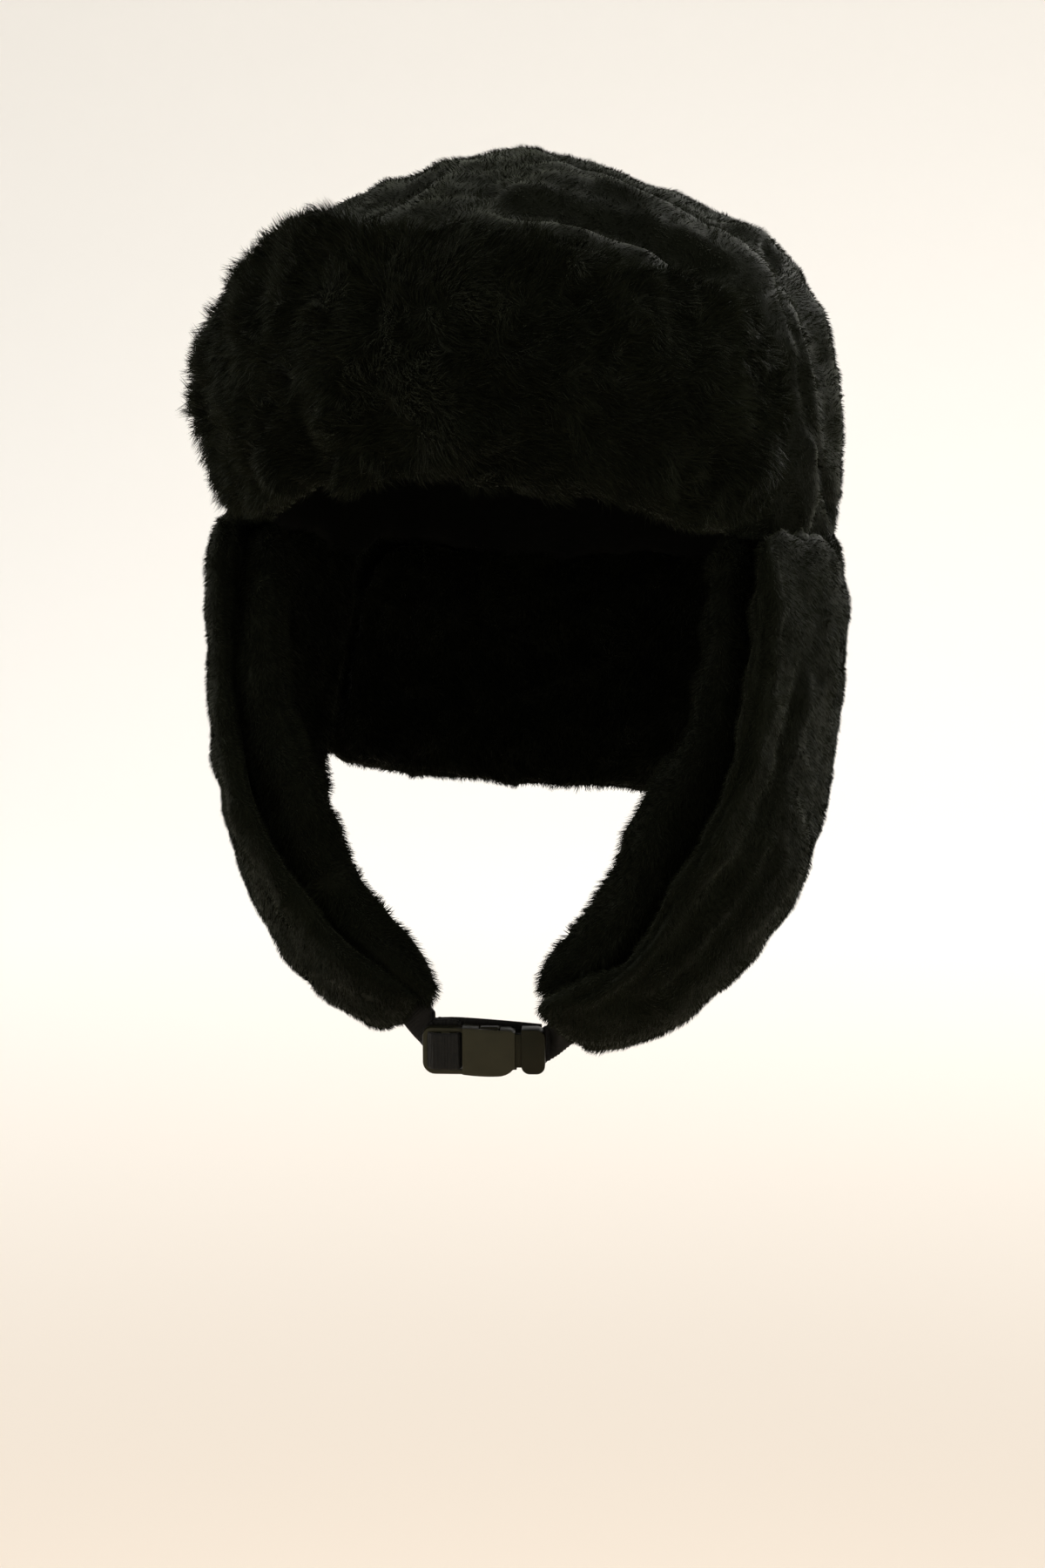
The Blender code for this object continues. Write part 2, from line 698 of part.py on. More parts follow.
def build_straps(collection, material):
    """The adjustable band, threaded through the frame with its tail behind, and the sewn loop."""
    start, body, base, end = buckle_levels()
    upright = Vector((0, 0, 1))
    half = WEBBING_THICKNESS / 2
    behind = BUCKLE_THICKNESS / 2 + SEWN_GAP + half
    over = BUCKLE_THICKNESS / 2 - CROSS_BAR_DEPTH - SEWN_GAP - half
    low, bar_low, bar_high, high = frame_windows()
    run = (behind - over) / 2 / math.tan(WEBBING_SLOPE)
    near, far = (low + bar_low) / 2, (bar_high + high) / 2

    seat, onward, sideways = strap_root(-1)
    entry = in_buckle(start - STRAP_TO_FRAME, behind, 0)
    bend = seat.lerp(entry, 0.6) + onward * 0.5 * STRAP_ROOT
    route = [
        (seat, sideways),
        (seat + onward * STRAP_ROOT, sideways),
        (bend, sideways.lerp(upright, 0.45)),
        (entry, upright),
    ]
    tail = 1.6 * WEBBING_THICKNESS
    threaded = (
        (near - run, behind, 0.0),
        (near + run, over, 0.0),
        (far - run, over, 0.0),
        (far + run, behind, 0.0),
        (body + 0.5 * BODY_LENGTH, behind + 0.3 * tail, 0.35 * TAIL_RISE),
        (base, behind + tail, 0.75 * TAIL_RISE),
        (end - 0.5 * FRAME_BAR, behind + 1.3 * tail, TAIL_RISE),
    )
    route += [(in_buckle(*spot), upright) for spot in threaded]
    webbing_band("strap_adjustable", route, collection, material)

    seat, onward, sideways = strap_root(1)
    entry = in_buckle(end + STRAP_TO_FRAME, behind, 0)
    bend = seat.lerp(entry, 0.6) + onward * 0.5 * STRAP_ROOT
    dip = 0.7 * (behind - over)
    threaded = end - FRAME_BAR - SEWN_GAP
    route = [
        (seat, sideways),
        (seat + onward * STRAP_ROOT, sideways),
        (bend, sideways.lerp(upright, 0.45)),
        (entry, upright),
        (in_buckle(threaded, behind, 0), upright),
        (in_buckle(threaded - dip / math.tan(WEBBING_SLOPE), behind - dip, 0), upright),
    ]
    webbing_band("strap_fixed", route, collection, material)


def build():
    clear_scene()
    ushanka = make_collection("ushanka")
    cutters = make_collection("cutters")
    fur = make_material("plush_fur", FUR)
    lining = make_material("lining_fur", LINING)
    webbing = make_material("webbing", WEBBING)
    plastic = make_material("buckle_plastic", PLASTIC)
    build_crown(ushanka, fur)
    build_front_flap(ushanka, fur)
    build_ear_flaps(ushanka, fur, lining)
    build_neck_flap(ushanka, fur, lining)
    build_buckle(ushanka, cutters, plastic)
    build_straps(ushanka, webbing)


build()
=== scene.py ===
"""The looks of a black plush ushanka: padded forms with their pile, webbing and a plastic buckle.

Metres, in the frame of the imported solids: +Z up, the face looks along -Y, the wearer's left is +X.
"""

import math

import bmesh
import bpy
import numpy as np
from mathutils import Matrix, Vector
from mathutils.bvhtree import BVHTree
from mathutils.kdtree import KDTree


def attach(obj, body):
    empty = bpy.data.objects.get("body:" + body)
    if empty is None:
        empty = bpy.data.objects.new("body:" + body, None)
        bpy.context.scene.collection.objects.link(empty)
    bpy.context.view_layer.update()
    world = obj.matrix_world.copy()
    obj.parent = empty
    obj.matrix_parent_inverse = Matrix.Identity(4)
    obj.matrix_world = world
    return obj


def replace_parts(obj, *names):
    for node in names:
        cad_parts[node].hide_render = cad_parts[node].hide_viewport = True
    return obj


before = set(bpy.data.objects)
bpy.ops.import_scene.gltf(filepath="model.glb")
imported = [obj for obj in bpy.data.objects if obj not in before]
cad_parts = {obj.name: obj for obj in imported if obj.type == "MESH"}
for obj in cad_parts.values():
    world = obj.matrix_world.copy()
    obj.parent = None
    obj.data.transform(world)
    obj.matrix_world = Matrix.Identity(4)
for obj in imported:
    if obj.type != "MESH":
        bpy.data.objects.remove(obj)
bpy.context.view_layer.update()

SEED = 41

# Camera: the photograph's viewing angle
CAMERA_PLACE = (0.3107, -1.2011, 0.1523)
CAMERA_TURN = math.radians(14.5)
CAMERA_PITCH = math.radians(10.82)
CAMERA_LENS = 86.24
FLOOR_DROP = 0.62
SKY_COLOUR = (1.0, 0.992, 0.965, 1.0)
SKY_IN_FRONT, SKY_BEHIND = 0.55, 1.15  # the room is darker on the camera's side
SKY_TURNS = (-1.0, 0.35)  # between which directions' Y it goes from the one to the other
LAMP_COLOUR = (1.0, 0.98, 0.95)
LAMP_SPREAD = math.radians(70)
LAMPS = (  # name, place, aim, size and power
    ("overhead softbox", (0.62, 1.30, 0.70), (0.0, 0.0, 0.0), (0.8, 0.5), 2.7),
    ("right softbox", (1.15, -0.42, 0.42), (0.0, 0.0, 0.0), (0.4, 0.9), 1.3),
    ("left softbox", (-1.15, -0.30, 0.30), (0.0, 0.0, 0.0), (0.4, 0.9), 1.6),
    ("backdrop softbox", (0.0, 0.9, 1.5), (0.0, 2.6, -0.45), (2.6, 1.8), 7.6),
)
# Painted shade: the floor's colour is lower and warmer towards its middle, under and around the hat,
# for the light falling off there; further out it turns to the backdrop's colour.
FLOOR_SHADED_COLOUR = (0.84, 0.72, 0.60, 1.0)
BACKDROP_COLOUR = (0.93, 0.90, 0.86, 1.0)
FLOOR_SHADE_TURNS = (0.7, 2.2)  # how far out the floor's colour starts and ends to turn
FLOOR_RADIUS, COVE_RADIUS, COVE_STEPS = 2.6, 0.9, 12

# The furred pieces: the record's slot, and how far the padded form is drawn in under its pile
FORMS = {
    "crown": ("plush_fur", 1.5),
    "front_flap": ("plush_fur", 3.0),
    "ear_flap_left": ("plush_fur", 1.5),
    "ear_flap_right": ("plush_fur", 1.5),
    "ear_lining_left": ("lining_fur", 2.2),
    "ear_lining_right": ("lining_fur", 2.2),
    "neck_flap": ("plush_fur", 1.5),
    "neck_lining": ("lining_fur", 2.2),
}
FORM_GRAIN = 0.0026  # how fine the padded forms are

# Coats of pile. Millimetres: the pile's length, a tuft's width at its root and the size of its
# clumps. Lean is the angle off the surface's normal at the root and at the tip, in degrees
COAT_COLUMNS = ("tufts", "length", "width", "clump", "gather", "lean_root", "lean_tip", "segments")
PLUSH = (2.7, 0.36, 2.4, 0.26, 34, 64, 1)
LINING = (3.9, 0.38, 3.4, 0.32, 30, 60, 1)
COATS = {
    "crown": ((125000, *PLUSH),),
    "front_flap": (
        (78000, 4.2, 0.36, 3.4, 0.30, 30, 60, 1),
        (24000, 6.4, 0.36, 5.0, 0.42, 26, 62, 2),
    ),
    "ear_flap_left": ((78000, *PLUSH),),
    "ear_flap_right": ((78000, *PLUSH),),
    "ear_lining_left": ((56000, *LINING),),
    "ear_lining_right": ((56000, *LINING),),
    "neck_flap": ((60000, *PLUSH),),
    "neck_lining": ((42000, *LINING),),
}
FRINGE_FROM, FRINGE_TO = 0.066, 0.098  # the front flap's pile is longest at its right-hand end
FRINGE_MORE = 0.35

# Folds and seams in the padding, as lines on a form: how deep each is drawn in, or raised where
# negative, how far it reaches to each side, and its points, all in millimetres
EAR_SEAM = (
    (93.6, -51.9, -12.4), (93.2, -55.0, -26.8), (87.7, -63.0, -65.1), (69.0, -69.1, -103.1),
    (36.1, -68.1, -137.9),
)
EAR_RIDGE = (
    (94.1, -46.5, 0.7), (97.1, -46.8, -16.3), (95.6, -53.0, -48.9), (85.8, -63.9, -76.7),
    (61.7, -69.9, -115.2), (40.3, -66.6, -141.4),
)
EAR_GROOVE = (
    (101.9, -33.1, -39.9), (96.3, -45.7, -73.7), (83.4, -57.3, -100.3), (62.1, -65.1, -125.0),
    (45.7, -65.1, -140.0),
)
EAR_LOW_GROOVE = ((93.5, -41.7, -93.9), (77.3, -52.7, -119.3), (51.7, -59.2, -142.5))
CROWN_VALLEY = (
    (15.8, -60.7, 113.0), (28.3, -50.4, 110.4), (47.6, -41.0, 102.9), (65.4, -33.9, 94.7),
)
CROWN_RIDGE = (
    (18.1, -33.4, 118.7), (31.4, -21.4, 116.3), (47.2, -15.7, 112.4), (73.0, 12.4, 98.8),
)
CROWN_SIDE_SEAM = (
    (79.4, 9.3, 92.8), (91.5, -16.0, 80.4), (100.3, -20.0, 42.8), (101.7, 10.5, 7.6),
)
EAR_FOLDS = (
    (2.4, 4.5, EAR_SEAM),
    (-1.0, 5.0, EAR_RIDGE),
    (3.0, 7.5, EAR_GROOVE),
    (2.0, 6.0, EAR_LOW_GROOVE),
)
FOLDS = {
    "crown": ((6.5, 14.0, CROWN_VALLEY), (-1.5, 8.0, CROWN_RIDGE), (2.2, 4.5, CROWN_SIDE_SEAM)),
    "ear_flap_left": EAR_FOLDS,
}

# Soft pushes that worn padding takes: where, how far round it, and the move, in millimetres
PUSHES = {
    "crown": (
        ((-84.0, 50.0, -10.0), 24.0, (0.0, 0.0, -11.0)),
        ((84.0, 50.0, -10.0), 24.0, (0.0, 0.0, -11.0)),
        ((-20.0, 96.0, -15.0), 50.0, (0.0, 0.0, -5.0)),
        ((45.0, 88.0, -14.0), 40.0, (0.0, 0.0, -4.0)),
        ((-52.0, -10.0, 108.0), 45.0, (-1.0, 0.0, 2.6)),
        ((-8.0, 0.0, 124.0), 50.0, (0.0, 0.0, 1.8)),
        ((88.0, 20.0, 90.0), 45.0, (1.8, 0.0, 1.2)),
        ((72.0, 7.0, 98.0), 30.0, (1.0, 0.0, 1.0)),
        ((100.0, 5.0, 48.0), 40.0, (2.2, 0.0, 0.0)),
        ((101.0, 0.0, 2.0), 30.0, (3.2, 0.0, 0.0)),
    ),
    "front_flap": (
        ((-101.0, -60.0, 55.0), 42.0, (2.5, 0.0, 0.0)),
        ((-45.0, -95.0, 99.0), 32.0, (0.0, 0.0, 8.0)),
        ((-63.0, -88.0, 89.0), 26.0, (-1.0, 0.0, 3.0)),
        ((-90.0, -72.0, 66.0), 22.0, (-1.8, 0.0, 0.0)),
        ((-92.0, -60.0, 22.0), 22.0, (2.5, 0.0, 0.0)),
    ),
    "ear_flap_right": (
        ((-107.0, -20.0, -60.0), 75.0, (3.0, 0.0, 0.0)),
        ((-100.0, -20.0, -8.0), 32.0, (4.2, 0.0, 0.0)),
        ((-85.0, -30.0, -98.0), 30.0, (1.3, 0.0, 0.0)),
        ((-52.0, -55.0, -142.0), 36.0, (-1.2, 0.0, -3.2)),
        ((-24.0, -60.0, -144.0), 26.0, (6.0, 3.0, -3.0)),
        ((-84.0, -60.0, -40.0), 40.0, (0.0, 2.0, 0.0)),
        ((-54.0, -66.0, -112.0), 36.0, (0.0, 3.0, 0.0)),
    ),
    "ear_lining_right": (
        ((-21.0, -49.0, -138.0), 26.0, (6.0, -3.0, -8.0)),
        ((-88.0, -20.0, -60.0), 50.0, (2.0, 0.0, 0.0)),
        ((-73.0, -53.0, -45.0), 42.0, (-1.0, -3.0, 0.0)),
        ((-64.0, -57.0, -84.0), 36.0, (4.2, -4.0, 0.0)),
        ((-34.0, -55.0, -130.0), 26.0, (4.5, -5.0, 0.0)),
    ),
    "ear_flap_left": (
        ((106.0, 0.0, -18.0), 40.0, (3.8, 0.0, 0.0)),
        ((104.0, -5.0, -80.0), 40.0, (-3.2, 0.0, 0.0)),
        ((90.0, -32.0, -108.0), 42.0, (4.0, 0.0, -1.8)),
        ((62.0, -52.0, -138.0), 42.0, (3.0, 0.0, -5.4)),
        ((23.0, -60.0, -147.0), 24.0, (-4.5, 0.0, 0.0)),
    ),
    "ear_lining_left": (
        ((21.0, -49.0, -141.0), 24.0, (-4.0, 0.0, -3.0)),
        ((30.0, -54.0, -122.0), 24.0, (-5.0, 0.0, 0.0)),
        ((50.0, -56.0, -110.0), 44.0, (-4.5, -2.0, 0.0)),
        ((66.0, -52.0, -82.0), 32.0, (-6.8, -1.0, 0.0)),
    ),
}

# The seam all round, where the flaps are sewn to the crown's rim
RIM_TILT = 0.155
BROW_ARCH = 0.0170
HEAD_FRONT = 0.0960
SEAM_REACH = 0.0090
FLAPS_RISE = 0.0055
CROWN_DIPS = 0.0025
FLAP_MIDDLE = 0.0560  # the height that the front flap is brushed outward from
SIDE_REACH = 0.0110  # within this of the ear flaps the neck flap's sides are drawn to them

MILLIMETRE = 0.001


def look_up(columns, row):
    return dict(zip(columns, row))


# ---------------------------------------------------------------- stage

def aim_camera():
    camera = bpy.data.cameras.new("camera")
    camera.sensor_width = 36.0
    camera.lens = CAMERA_LENS
    camera.clip_start = 0.05
    holder = bpy.data.objects.new("camera", camera)
    bpy.context.scene.collection.objects.link(holder)
    holder.location = CAMERA_PLACE
    holder.rotation_euler = (math.pi / 2 - CAMERA_PITCH, 0.0, CAMERA_TURN)
    bpy.context.scene.camera = holder


def soft_light(name, place, aim, size, power):
    light = bpy.data.lights.new(name, "AREA")
    light.shape = "RECTANGLE"
    light.size, light.size_y = size
    light.energy = power
    light.color = LAMP_COLOUR
    light.spread = LAMP_SPREAD
    holder = bpy.data.objects.new(name, light)
    bpy.context.scene.collection.objects.link(holder)
    holder.location = place
    holder.rotation_euler = (Vector(aim) - Vector(place)).to_track_quat("-Z", "Y").to_euler()


def light_studio():
    world = bpy.data.worlds.new("studio")
    bpy.context.scene.world = world
    world.use_nodes = True
    sky = world.node_tree.nodes["Background"]
    sky.inputs["Color"].default_value = SKY_COLOUR
    nodes, links = world.node_tree.nodes, world.node_tree.links
    direction = nodes.new("ShaderNodeTexCoord")
    parts = nodes.new("ShaderNodeSeparateXYZ")
    links.new(direction.outputs["Generated"], parts.inputs[0])
    glow = spread(nodes, links, parts.outputs["Y"], SKY_IN_FRONT, SKY_BEHIND, *SKY_TURNS)
    links.new(glow, sky.inputs["Strength"])
    for lamp in LAMPS:
        soft_light(*lamp)
    view = bpy.context.scene.view_settings
    view.view_transform = "Standard"
    view.look = "None"


def lay_floor():
    """A plain floor, well below the hat, that curves up into the backdrop all round."""
    shape = bmesh.new()
    bmesh.ops.create_circle(shape, cap_ends=True, segments=96, radius=FLOOR_RADIUS)
    rim = [edge for edge in shape.edges if edge.is_boundary]
    for step in range(1, COVE_STEPS + 1):
        grown = bmesh.ops.extrude_edge_only(shape, edges=rim)["geom"]
        ring = [part for part in grown if isinstance(part, bmesh.types.BMVert)]
        rim = [part for part in grown if isinstance(part, bmesh.types.BMEdge)]
        turn = step / COVE_STEPS * math.pi / 2
        radius = FLOOR_RADIUS + COVE_RADIUS * math.sin(turn)
        rise = COVE_RADIUS * (1 - math.cos(turn))
        for vertex in ring:
            flat = Vector((vertex.co.x, vertex.co.y, 0)).normalized() * radius
            vertex.co = (flat.x, flat.y, rise)
    for vertex in shape.verts:
        vertex.co.z -= FLOOR_DROP
    for face in shape.faces:
        face.smooth = True
    mesh = bpy.data.meshes.new("floor")
    shape.to_mesh(mesh)
    shape.free()
    floor = bpy.data.objects.new("floor", mesh)
    bpy.context.scene.collection.objects.link(floor)
    paper = bpy.data.materials.new("cream paper")
    paper.use_nodes = True
    nodes, links = paper.node_tree.nodes, paper.node_tree.links
    shader = nodes["Principled BSDF"]
    shader.inputs["Roughness"].default_value = 0.9
    place = nodes.new("ShaderNodeTexCoord")
    out = nodes.new("ShaderNodeVectorMath")
    out.operation = "LENGTH"
    links.new(place.outputs["Object"], out.inputs[0])
    # This mix lays the painted shade on the floor's middle and fades it out to the backdrop's
    # colour.
    shade = nodes.new("ShaderNodeMix")
    shade.data_type = "RGBA"
    shade.inputs[6].default_value = FLOOR_SHADED_COLOUR
    shade.inputs[7].default_value = BACKDROP_COLOUR
    turned = spread(nodes, links, out.outputs["Value"], 0.0, 1.0, *FLOOR_SHADE_TURNS)
    links.new(turned, shade.inputs[0])
    links.new(shade.outputs[2], shader.inputs["Base Color"])
    mesh.materials.append(paper)


# ---------------------------------------------------------------- finishes

# The prong half's copy of the plastic has a lower grey and, through GLOSS_BY_DEPTH, less reflection:
# painted shade for its face, which is turned towards dim surroundings.
PLASTIC_DEPTH, SHADED_PLASTIC_DEPTH = 0.0110, 0.0058
GLOSS_BY_DEPTH = 25
FUR_TINT = (0.92, 1.0, 0.66, 1.0)


def start_material(name):
    material = bpy.data.materials.new(name)
    material.use_nodes = True
    nodes, links = material.node_tree.nodes, material.node_tree.links
    return material, nodes, links, nodes["Principled BSDF"]


def noise(nodes, links, scale, detail=3.0, stretch=None):
    place = nodes.new("ShaderNodeTexCoord")
    texture = nodes.new("ShaderNodeTexNoise")
    texture.inputs["Scale"].default_value = scale
    texture.inputs["Detail"].default_value = detail
    if stretch is None:
        links.new(place.outputs["Object"], texture.inputs["Vector"])
    else:
        mapping = nodes.new("ShaderNodeMapping")
        mapping.inputs["Scale"].default_value = stretch
        links.new(place.outputs["Object"], mapping.inputs["Vector"])
        links.new(mapping.outputs["Vector"], texture.inputs["Vector"])
    return texture


def spread(nodes, links, source, low, high, from_low=0.3, from_high=0.7):
    ranged = nodes.new("ShaderNodeMapRange")
    ranged.inputs["From Min"].default_value = from_low
    ranged.inputs["From Max"].default_value = from_high
    ranged.inputs["To Min"].default_value = low
    ranged.inputs["To Max"].default_value = high
    links.new(source, ranged.inputs["Value"])
    return ranged.outputs["Result"]


def product(nodes, links, first, second):
    times = nodes.new("ShaderNodeMath")
    times.operation = "MULTIPLY"
    for socket, value in zip(times.inputs, (first, second)):
        if isinstance(value, float):
            socket.default_value = value
        else:
            links.new(value, socket)
    return times.outputs["Value"]


def grey(nodes, links, value, tint=(1.0, 1.12, 0.56)):
    """A dark grey of that value, with the cloth's slight tint."""
    mixed = nodes.new("ShaderNodeVectorMath")
    mixed.operation = "SCALE"
    mixed.inputs["Vector"].default_value = tint
    links.new(value, mixed.inputs["Scale"])
    return mixed.outputs["Vector"]


def fur_with_root_shade(name, depth, sheen, sheen_roughness):
    """Black pile, near black at the roots and a little lighter at the tips and from tuft to tuft;
    the fall towards the roots is painted shade deep in the pile.
    """
    material, nodes, links, shader = start_material(name)
    tip = nodes.new("ShaderNodeAttribute")
    tip.attribute_name = "tip"
    tuft = nodes.new("ShaderNodeAttribute")
    tuft.attribute_name = "tuft"
    # Painted shade: each tuft's grey falls towards its root, where shade lies deep in the pile.
    along = spread(nodes, links, tip.outputs["Fac"], 0.35 * depth, depth, 0.0, 0.9)
    each = spread(nodes, links, tuft.outputs["Fac"], 0.7, 1.35, 0.0, 1.0)
    patches = spread(nodes, links, noise(nodes, links, 38.0).outputs["Fac"], 0.7, 1.35)
    value = product(nodes, links, product(nodes, links, along, each), patches)
    links.new(grey(nodes, links, value), shader.inputs["Base Color"])
    gloss = spread(nodes, links, tuft.outputs["Fac"], 0.50, 0.72, 0.0, 1.0)
    links.new(gloss, shader.inputs["Roughness"])
    shader.inputs["Specular IOR Level"].default_value = 0.04
    shader.inputs["Sheen Weight"].default_value = sheen
    shader.inputs["Sheen Roughness"].default_value = sheen_roughness
    shader.inputs["Sheen Tint"].default_value = FUR_TINT
    shader.inputs["Specular Tint"].default_value = FUR_TINT
    fibres = noise(nodes, links, 1500.0, 2.0)
    raised = nodes.new("ShaderNodeBump")
    raised.inputs["Strength"].default_value = 0.5
    raised.inputs["Distance"].default_value = 0.0004
    links.new(fibres.outputs["Fac"], raised.inputs["Height"])
    links.new(raised.outputs["Normal"], shader.inputs["Normal"])
    return material


def inside_cloth():
    """The plain woven cloth inside the crown, near black: its own dark colour with painted shade for
    the crown's hollow.
    """
    material, nodes, links, shader = start_material("inside cloth")
    # Near black: painted shade for the hollow on top of the cloth's own dark colour.
    shade = spread(nodes, links, noise(nodes, links, 60.0).outputs["Fac"], 0.0010, 0.0018)
    links.new(grey(nodes, links, shade), shader.inputs["Base Color"])
    shader.inputs["Roughness"].default_value = 0.75
    shader.inputs["Specular IOR Level"].default_value = 0.05
    place = nodes.new("ShaderNodeTexCoord")
    height = None
    for axis, turned in (("X", 0.0), ("Z", 0.6)):
        mapping = nodes.new("ShaderNodeMapping")
        mapping.inputs["Rotation"].default_value = (turned, turned, 0.0)
        thread = nodes.new("ShaderNodeTexWave")
        thread.bands_direction = axis
        thread.inputs["Scale"].default_value = 420.0
        links.new(place.outputs["Object"], mapping.inputs["Vector"])
        links.new(mapping.outputs["Vector"], thread.inputs["Vector"])
        height = thread.outputs["Fac"] if height is None else product(
            nodes, links, height, thread.outputs["Fac"]
        )
    raised = nodes.new("ShaderNodeBump")
    raised.inputs["Strength"].default_value = 0.4
    raised.inputs["Distance"].default_value = 0.0002
    links.new(height, raised.inputs["Height"])
    links.new(raised.outputs["Normal"], shader.inputs["Normal"])
    return material


def nylon_webbing():
    material, nodes, links, shader = start_material("nylon webbing")
    yarn = noise(nodes, links, 900.0, 2.0)
    shade = spread(nodes, links, yarn.outputs["Fac"], 0.0026, 0.0066)
    links.new(grey(nodes, links, shade, (1.0, 0.87, 0.62)), shader.inputs["Base Color"])
    shader.inputs["Roughness"].default_value = 0.6
    shader.inputs["Specular IOR Level"].default_value = 0.12
    shader.inputs["Sheen Weight"].default_value = 0.03
    raised = nodes.new("ShaderNodeBump")
    raised.inputs["Strength"].default_value = 0.5
    raised.inputs["Distance"].default_value = 0.00015
    links.new(yarn.outputs["Fac"], raised.inputs["Height"])
    links.new(raised.outputs["Normal"], shader.inputs["Normal"])
    return material


def moulded_plastic(name, depth):
    """Black acetal with the fine grain of its mould; depth is its lightest grey."""
    material, nodes, links, shader = start_material(name)
    wear = noise(nodes, links, 220.0, 4.0)
    shade = spread(nodes, links, wear.outputs["Fac"], 0.6 * depth, depth)
    links.new(grey(nodes, links, shade, (1.0, 0.92, 0.50)), shader.inputs["Base Color"])
    links.new(spread(nodes, links, wear.outputs["Fac"], 0.34, 0.46), shader.inputs["Roughness"])
    shader.inputs["Specular IOR Level"].default_value = GLOSS_BY_DEPTH * depth
    shader.inputs["Specular Tint"].default_value = (1.0, 0.93, 0.62, 1.0)
    grain = noise(nodes, links, 2600.0, 2.0)
    raised = nodes.new("ShaderNodeBump")
    raised.inputs["Strength"].default_value = 0.25
    raised.inputs["Distance"].default_value = 0.00008
    links.new(grain.outputs["Fac"], raised.inputs["Height"])
    links.new(raised.outputs["Normal"], shader.inputs["Normal"])
    return material


# ---------------------------------------------------------------- padded forms

def link(name, mesh):
    made = bpy.data.objects.new(name, mesh)
    bpy.context.scene.collection.objects.link(made)
    return made


def bake(thing):
    """The object's mesh as its modifiers make it, with the modifiers gone."""
    bpy.context.view_layer.update()
    graph = bpy.context.evaluated_depsgraph_get()
    mesh = bpy.data.meshes.new_from_object(thing.evaluated_get(graph))
    thing.modifiers.clear()
    thing.data = mesh
    return mesh


def padded_form(node, name, grain):
    """The node's solid as one even skin: a copy is merged, remeshed and smoothed."""
    shape = bmesh.new()
    shape.from_mesh(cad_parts[node].data)
    bmesh.ops.remove_doubles(shape, verts=shape.verts, dist=1e-6)
    mesh = bpy.data.meshes.new(name)
    shape.to_mesh(mesh)
    shape.free()
    form = link(name, mesh)
    skin = form.modifiers.new("skin", "REMESH")
    skin.mode = "VOXEL"
    skin.voxel_size = grain
    soft = form.modifiers.new("soft", "SMOOTH")
    soft.factor = 0.5
    soft.iterations = 6
    bake(form)
    return form


def read_points(mesh):
    points = np.empty(len(mesh.vertices) * 3)
    mesh.vertices.foreach_get("co", points)
    return points.reshape(-1, 3)


def read_normals(mesh):
    normals = np.empty(len(mesh.vertices) * 3)
    mesh.vertex_normals.foreach_get("vector", normals)
    return normals.reshape(-1, 3)


def read_triangles(mesh):
    mesh.calc_loop_triangles()
    corners = np.empty(len(mesh.loop_triangles) * 3, dtype=np.int64)
    mesh.loop_triangles.foreach_get("vertices", corners)
    return corners.reshape(-1, 3)


def unit(vectors):
    return vectors / np.maximum(np.linalg.norm(vectors, axis=1, keepdims=True), 1e-12)


def waves(points, size, seed):
    """Smooth uneven values about 0, from waves of about that size in many directions."""
    dice = np.random.default_rng(seed)
    total = np.zeros(len(points))
    for _ in range(14):
        way = unit(dice.normal(size=(1, 3)))[0]
        length = size * dice.uniform(0.7, 1.6)
        total += np.sin(points @ way * (2 * math.pi / length) + dice.uniform(0, 2 * math.pi))
    return total / math.sqrt(14 / 2) / 1.6


def step_up(values, low, high):
    t = np.clip((values - low) / (high - low), 0.0, 1.0)
    return t * t * (3 - 2 * t)


def neighbours_of(node):
    """The other furred pieces' solids, to find where this one lies on them."""
    corners, faces = [], []
    for other in FORMS:
        if other != node:
            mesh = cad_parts[other].data
            triangles = read_triangles(mesh) + sum(len(part) for part in corners)
            corners.append(read_points(mesh))
            faces.append(triangles)
    return BVHTree.FromPolygons(np.concatenate(corners).tolist(), np.concatenate(faces).tolist())


def furred_share(node, points, normals):
    """1 where a piece carries pile, 0 where it lies on its neighbour, and inside the crown."""
    others = neighbours_of(node)
    gaps = np.array([others.find_nearest(point)[3] for point in points.tolist()])
    share = step_up(gaps, 0.0005, 0.0022)
    if node == "crown":
        middle = np.array((0.0, 0.0, 0.05))
        facing = np.sum(unit(points - middle) * normals, axis=1)
        share *= step_up(facing, -0.25, 0.05)
    return share


def comb(node, points, normals):
    """The way the pile is brushed along the surface, as one direction for each place."""
    count = len(points)
    down = np.tile((0.0, 0.0, -1.0), (count, 1))
    stray = np.stack([waves(points, 0.022, SEED + k) for k in (1, 2, 3)], axis=1)
    fine = np.stack([waves(points, 0.008, SEED + k) for k in (4, 5, 6)], axis=1)
    if node == "crown":
        way = 0.7 * down + 0.9 * stray + 0.8 * fine
    elif node == "front_flap":
        above = points[:, 2] - FLAP_MIDDLE
        outward = np.zeros_like(points)
        outward[:, 0] = np.clip((points[:, 0] + 0.015) / 0.025, -1.0, 1.0)
        outward[:, 2] = np.sign(above) * step_up(abs(above), 0.018, 0.044) * 1.1
        way = 0.20 * down + 0.95 * outward + 0.55 * stray + 0.45 * fine
    else:
        chin = np.array((0.0, -0.05, -0.19))
        way = 0.8 * unit(chin - points) + 0.35 * down + 0.6 * stray + 0.55 * fine
    along = way - normals * np.sum(way * normals, axis=1, keepdims=True)
    return unit(along)


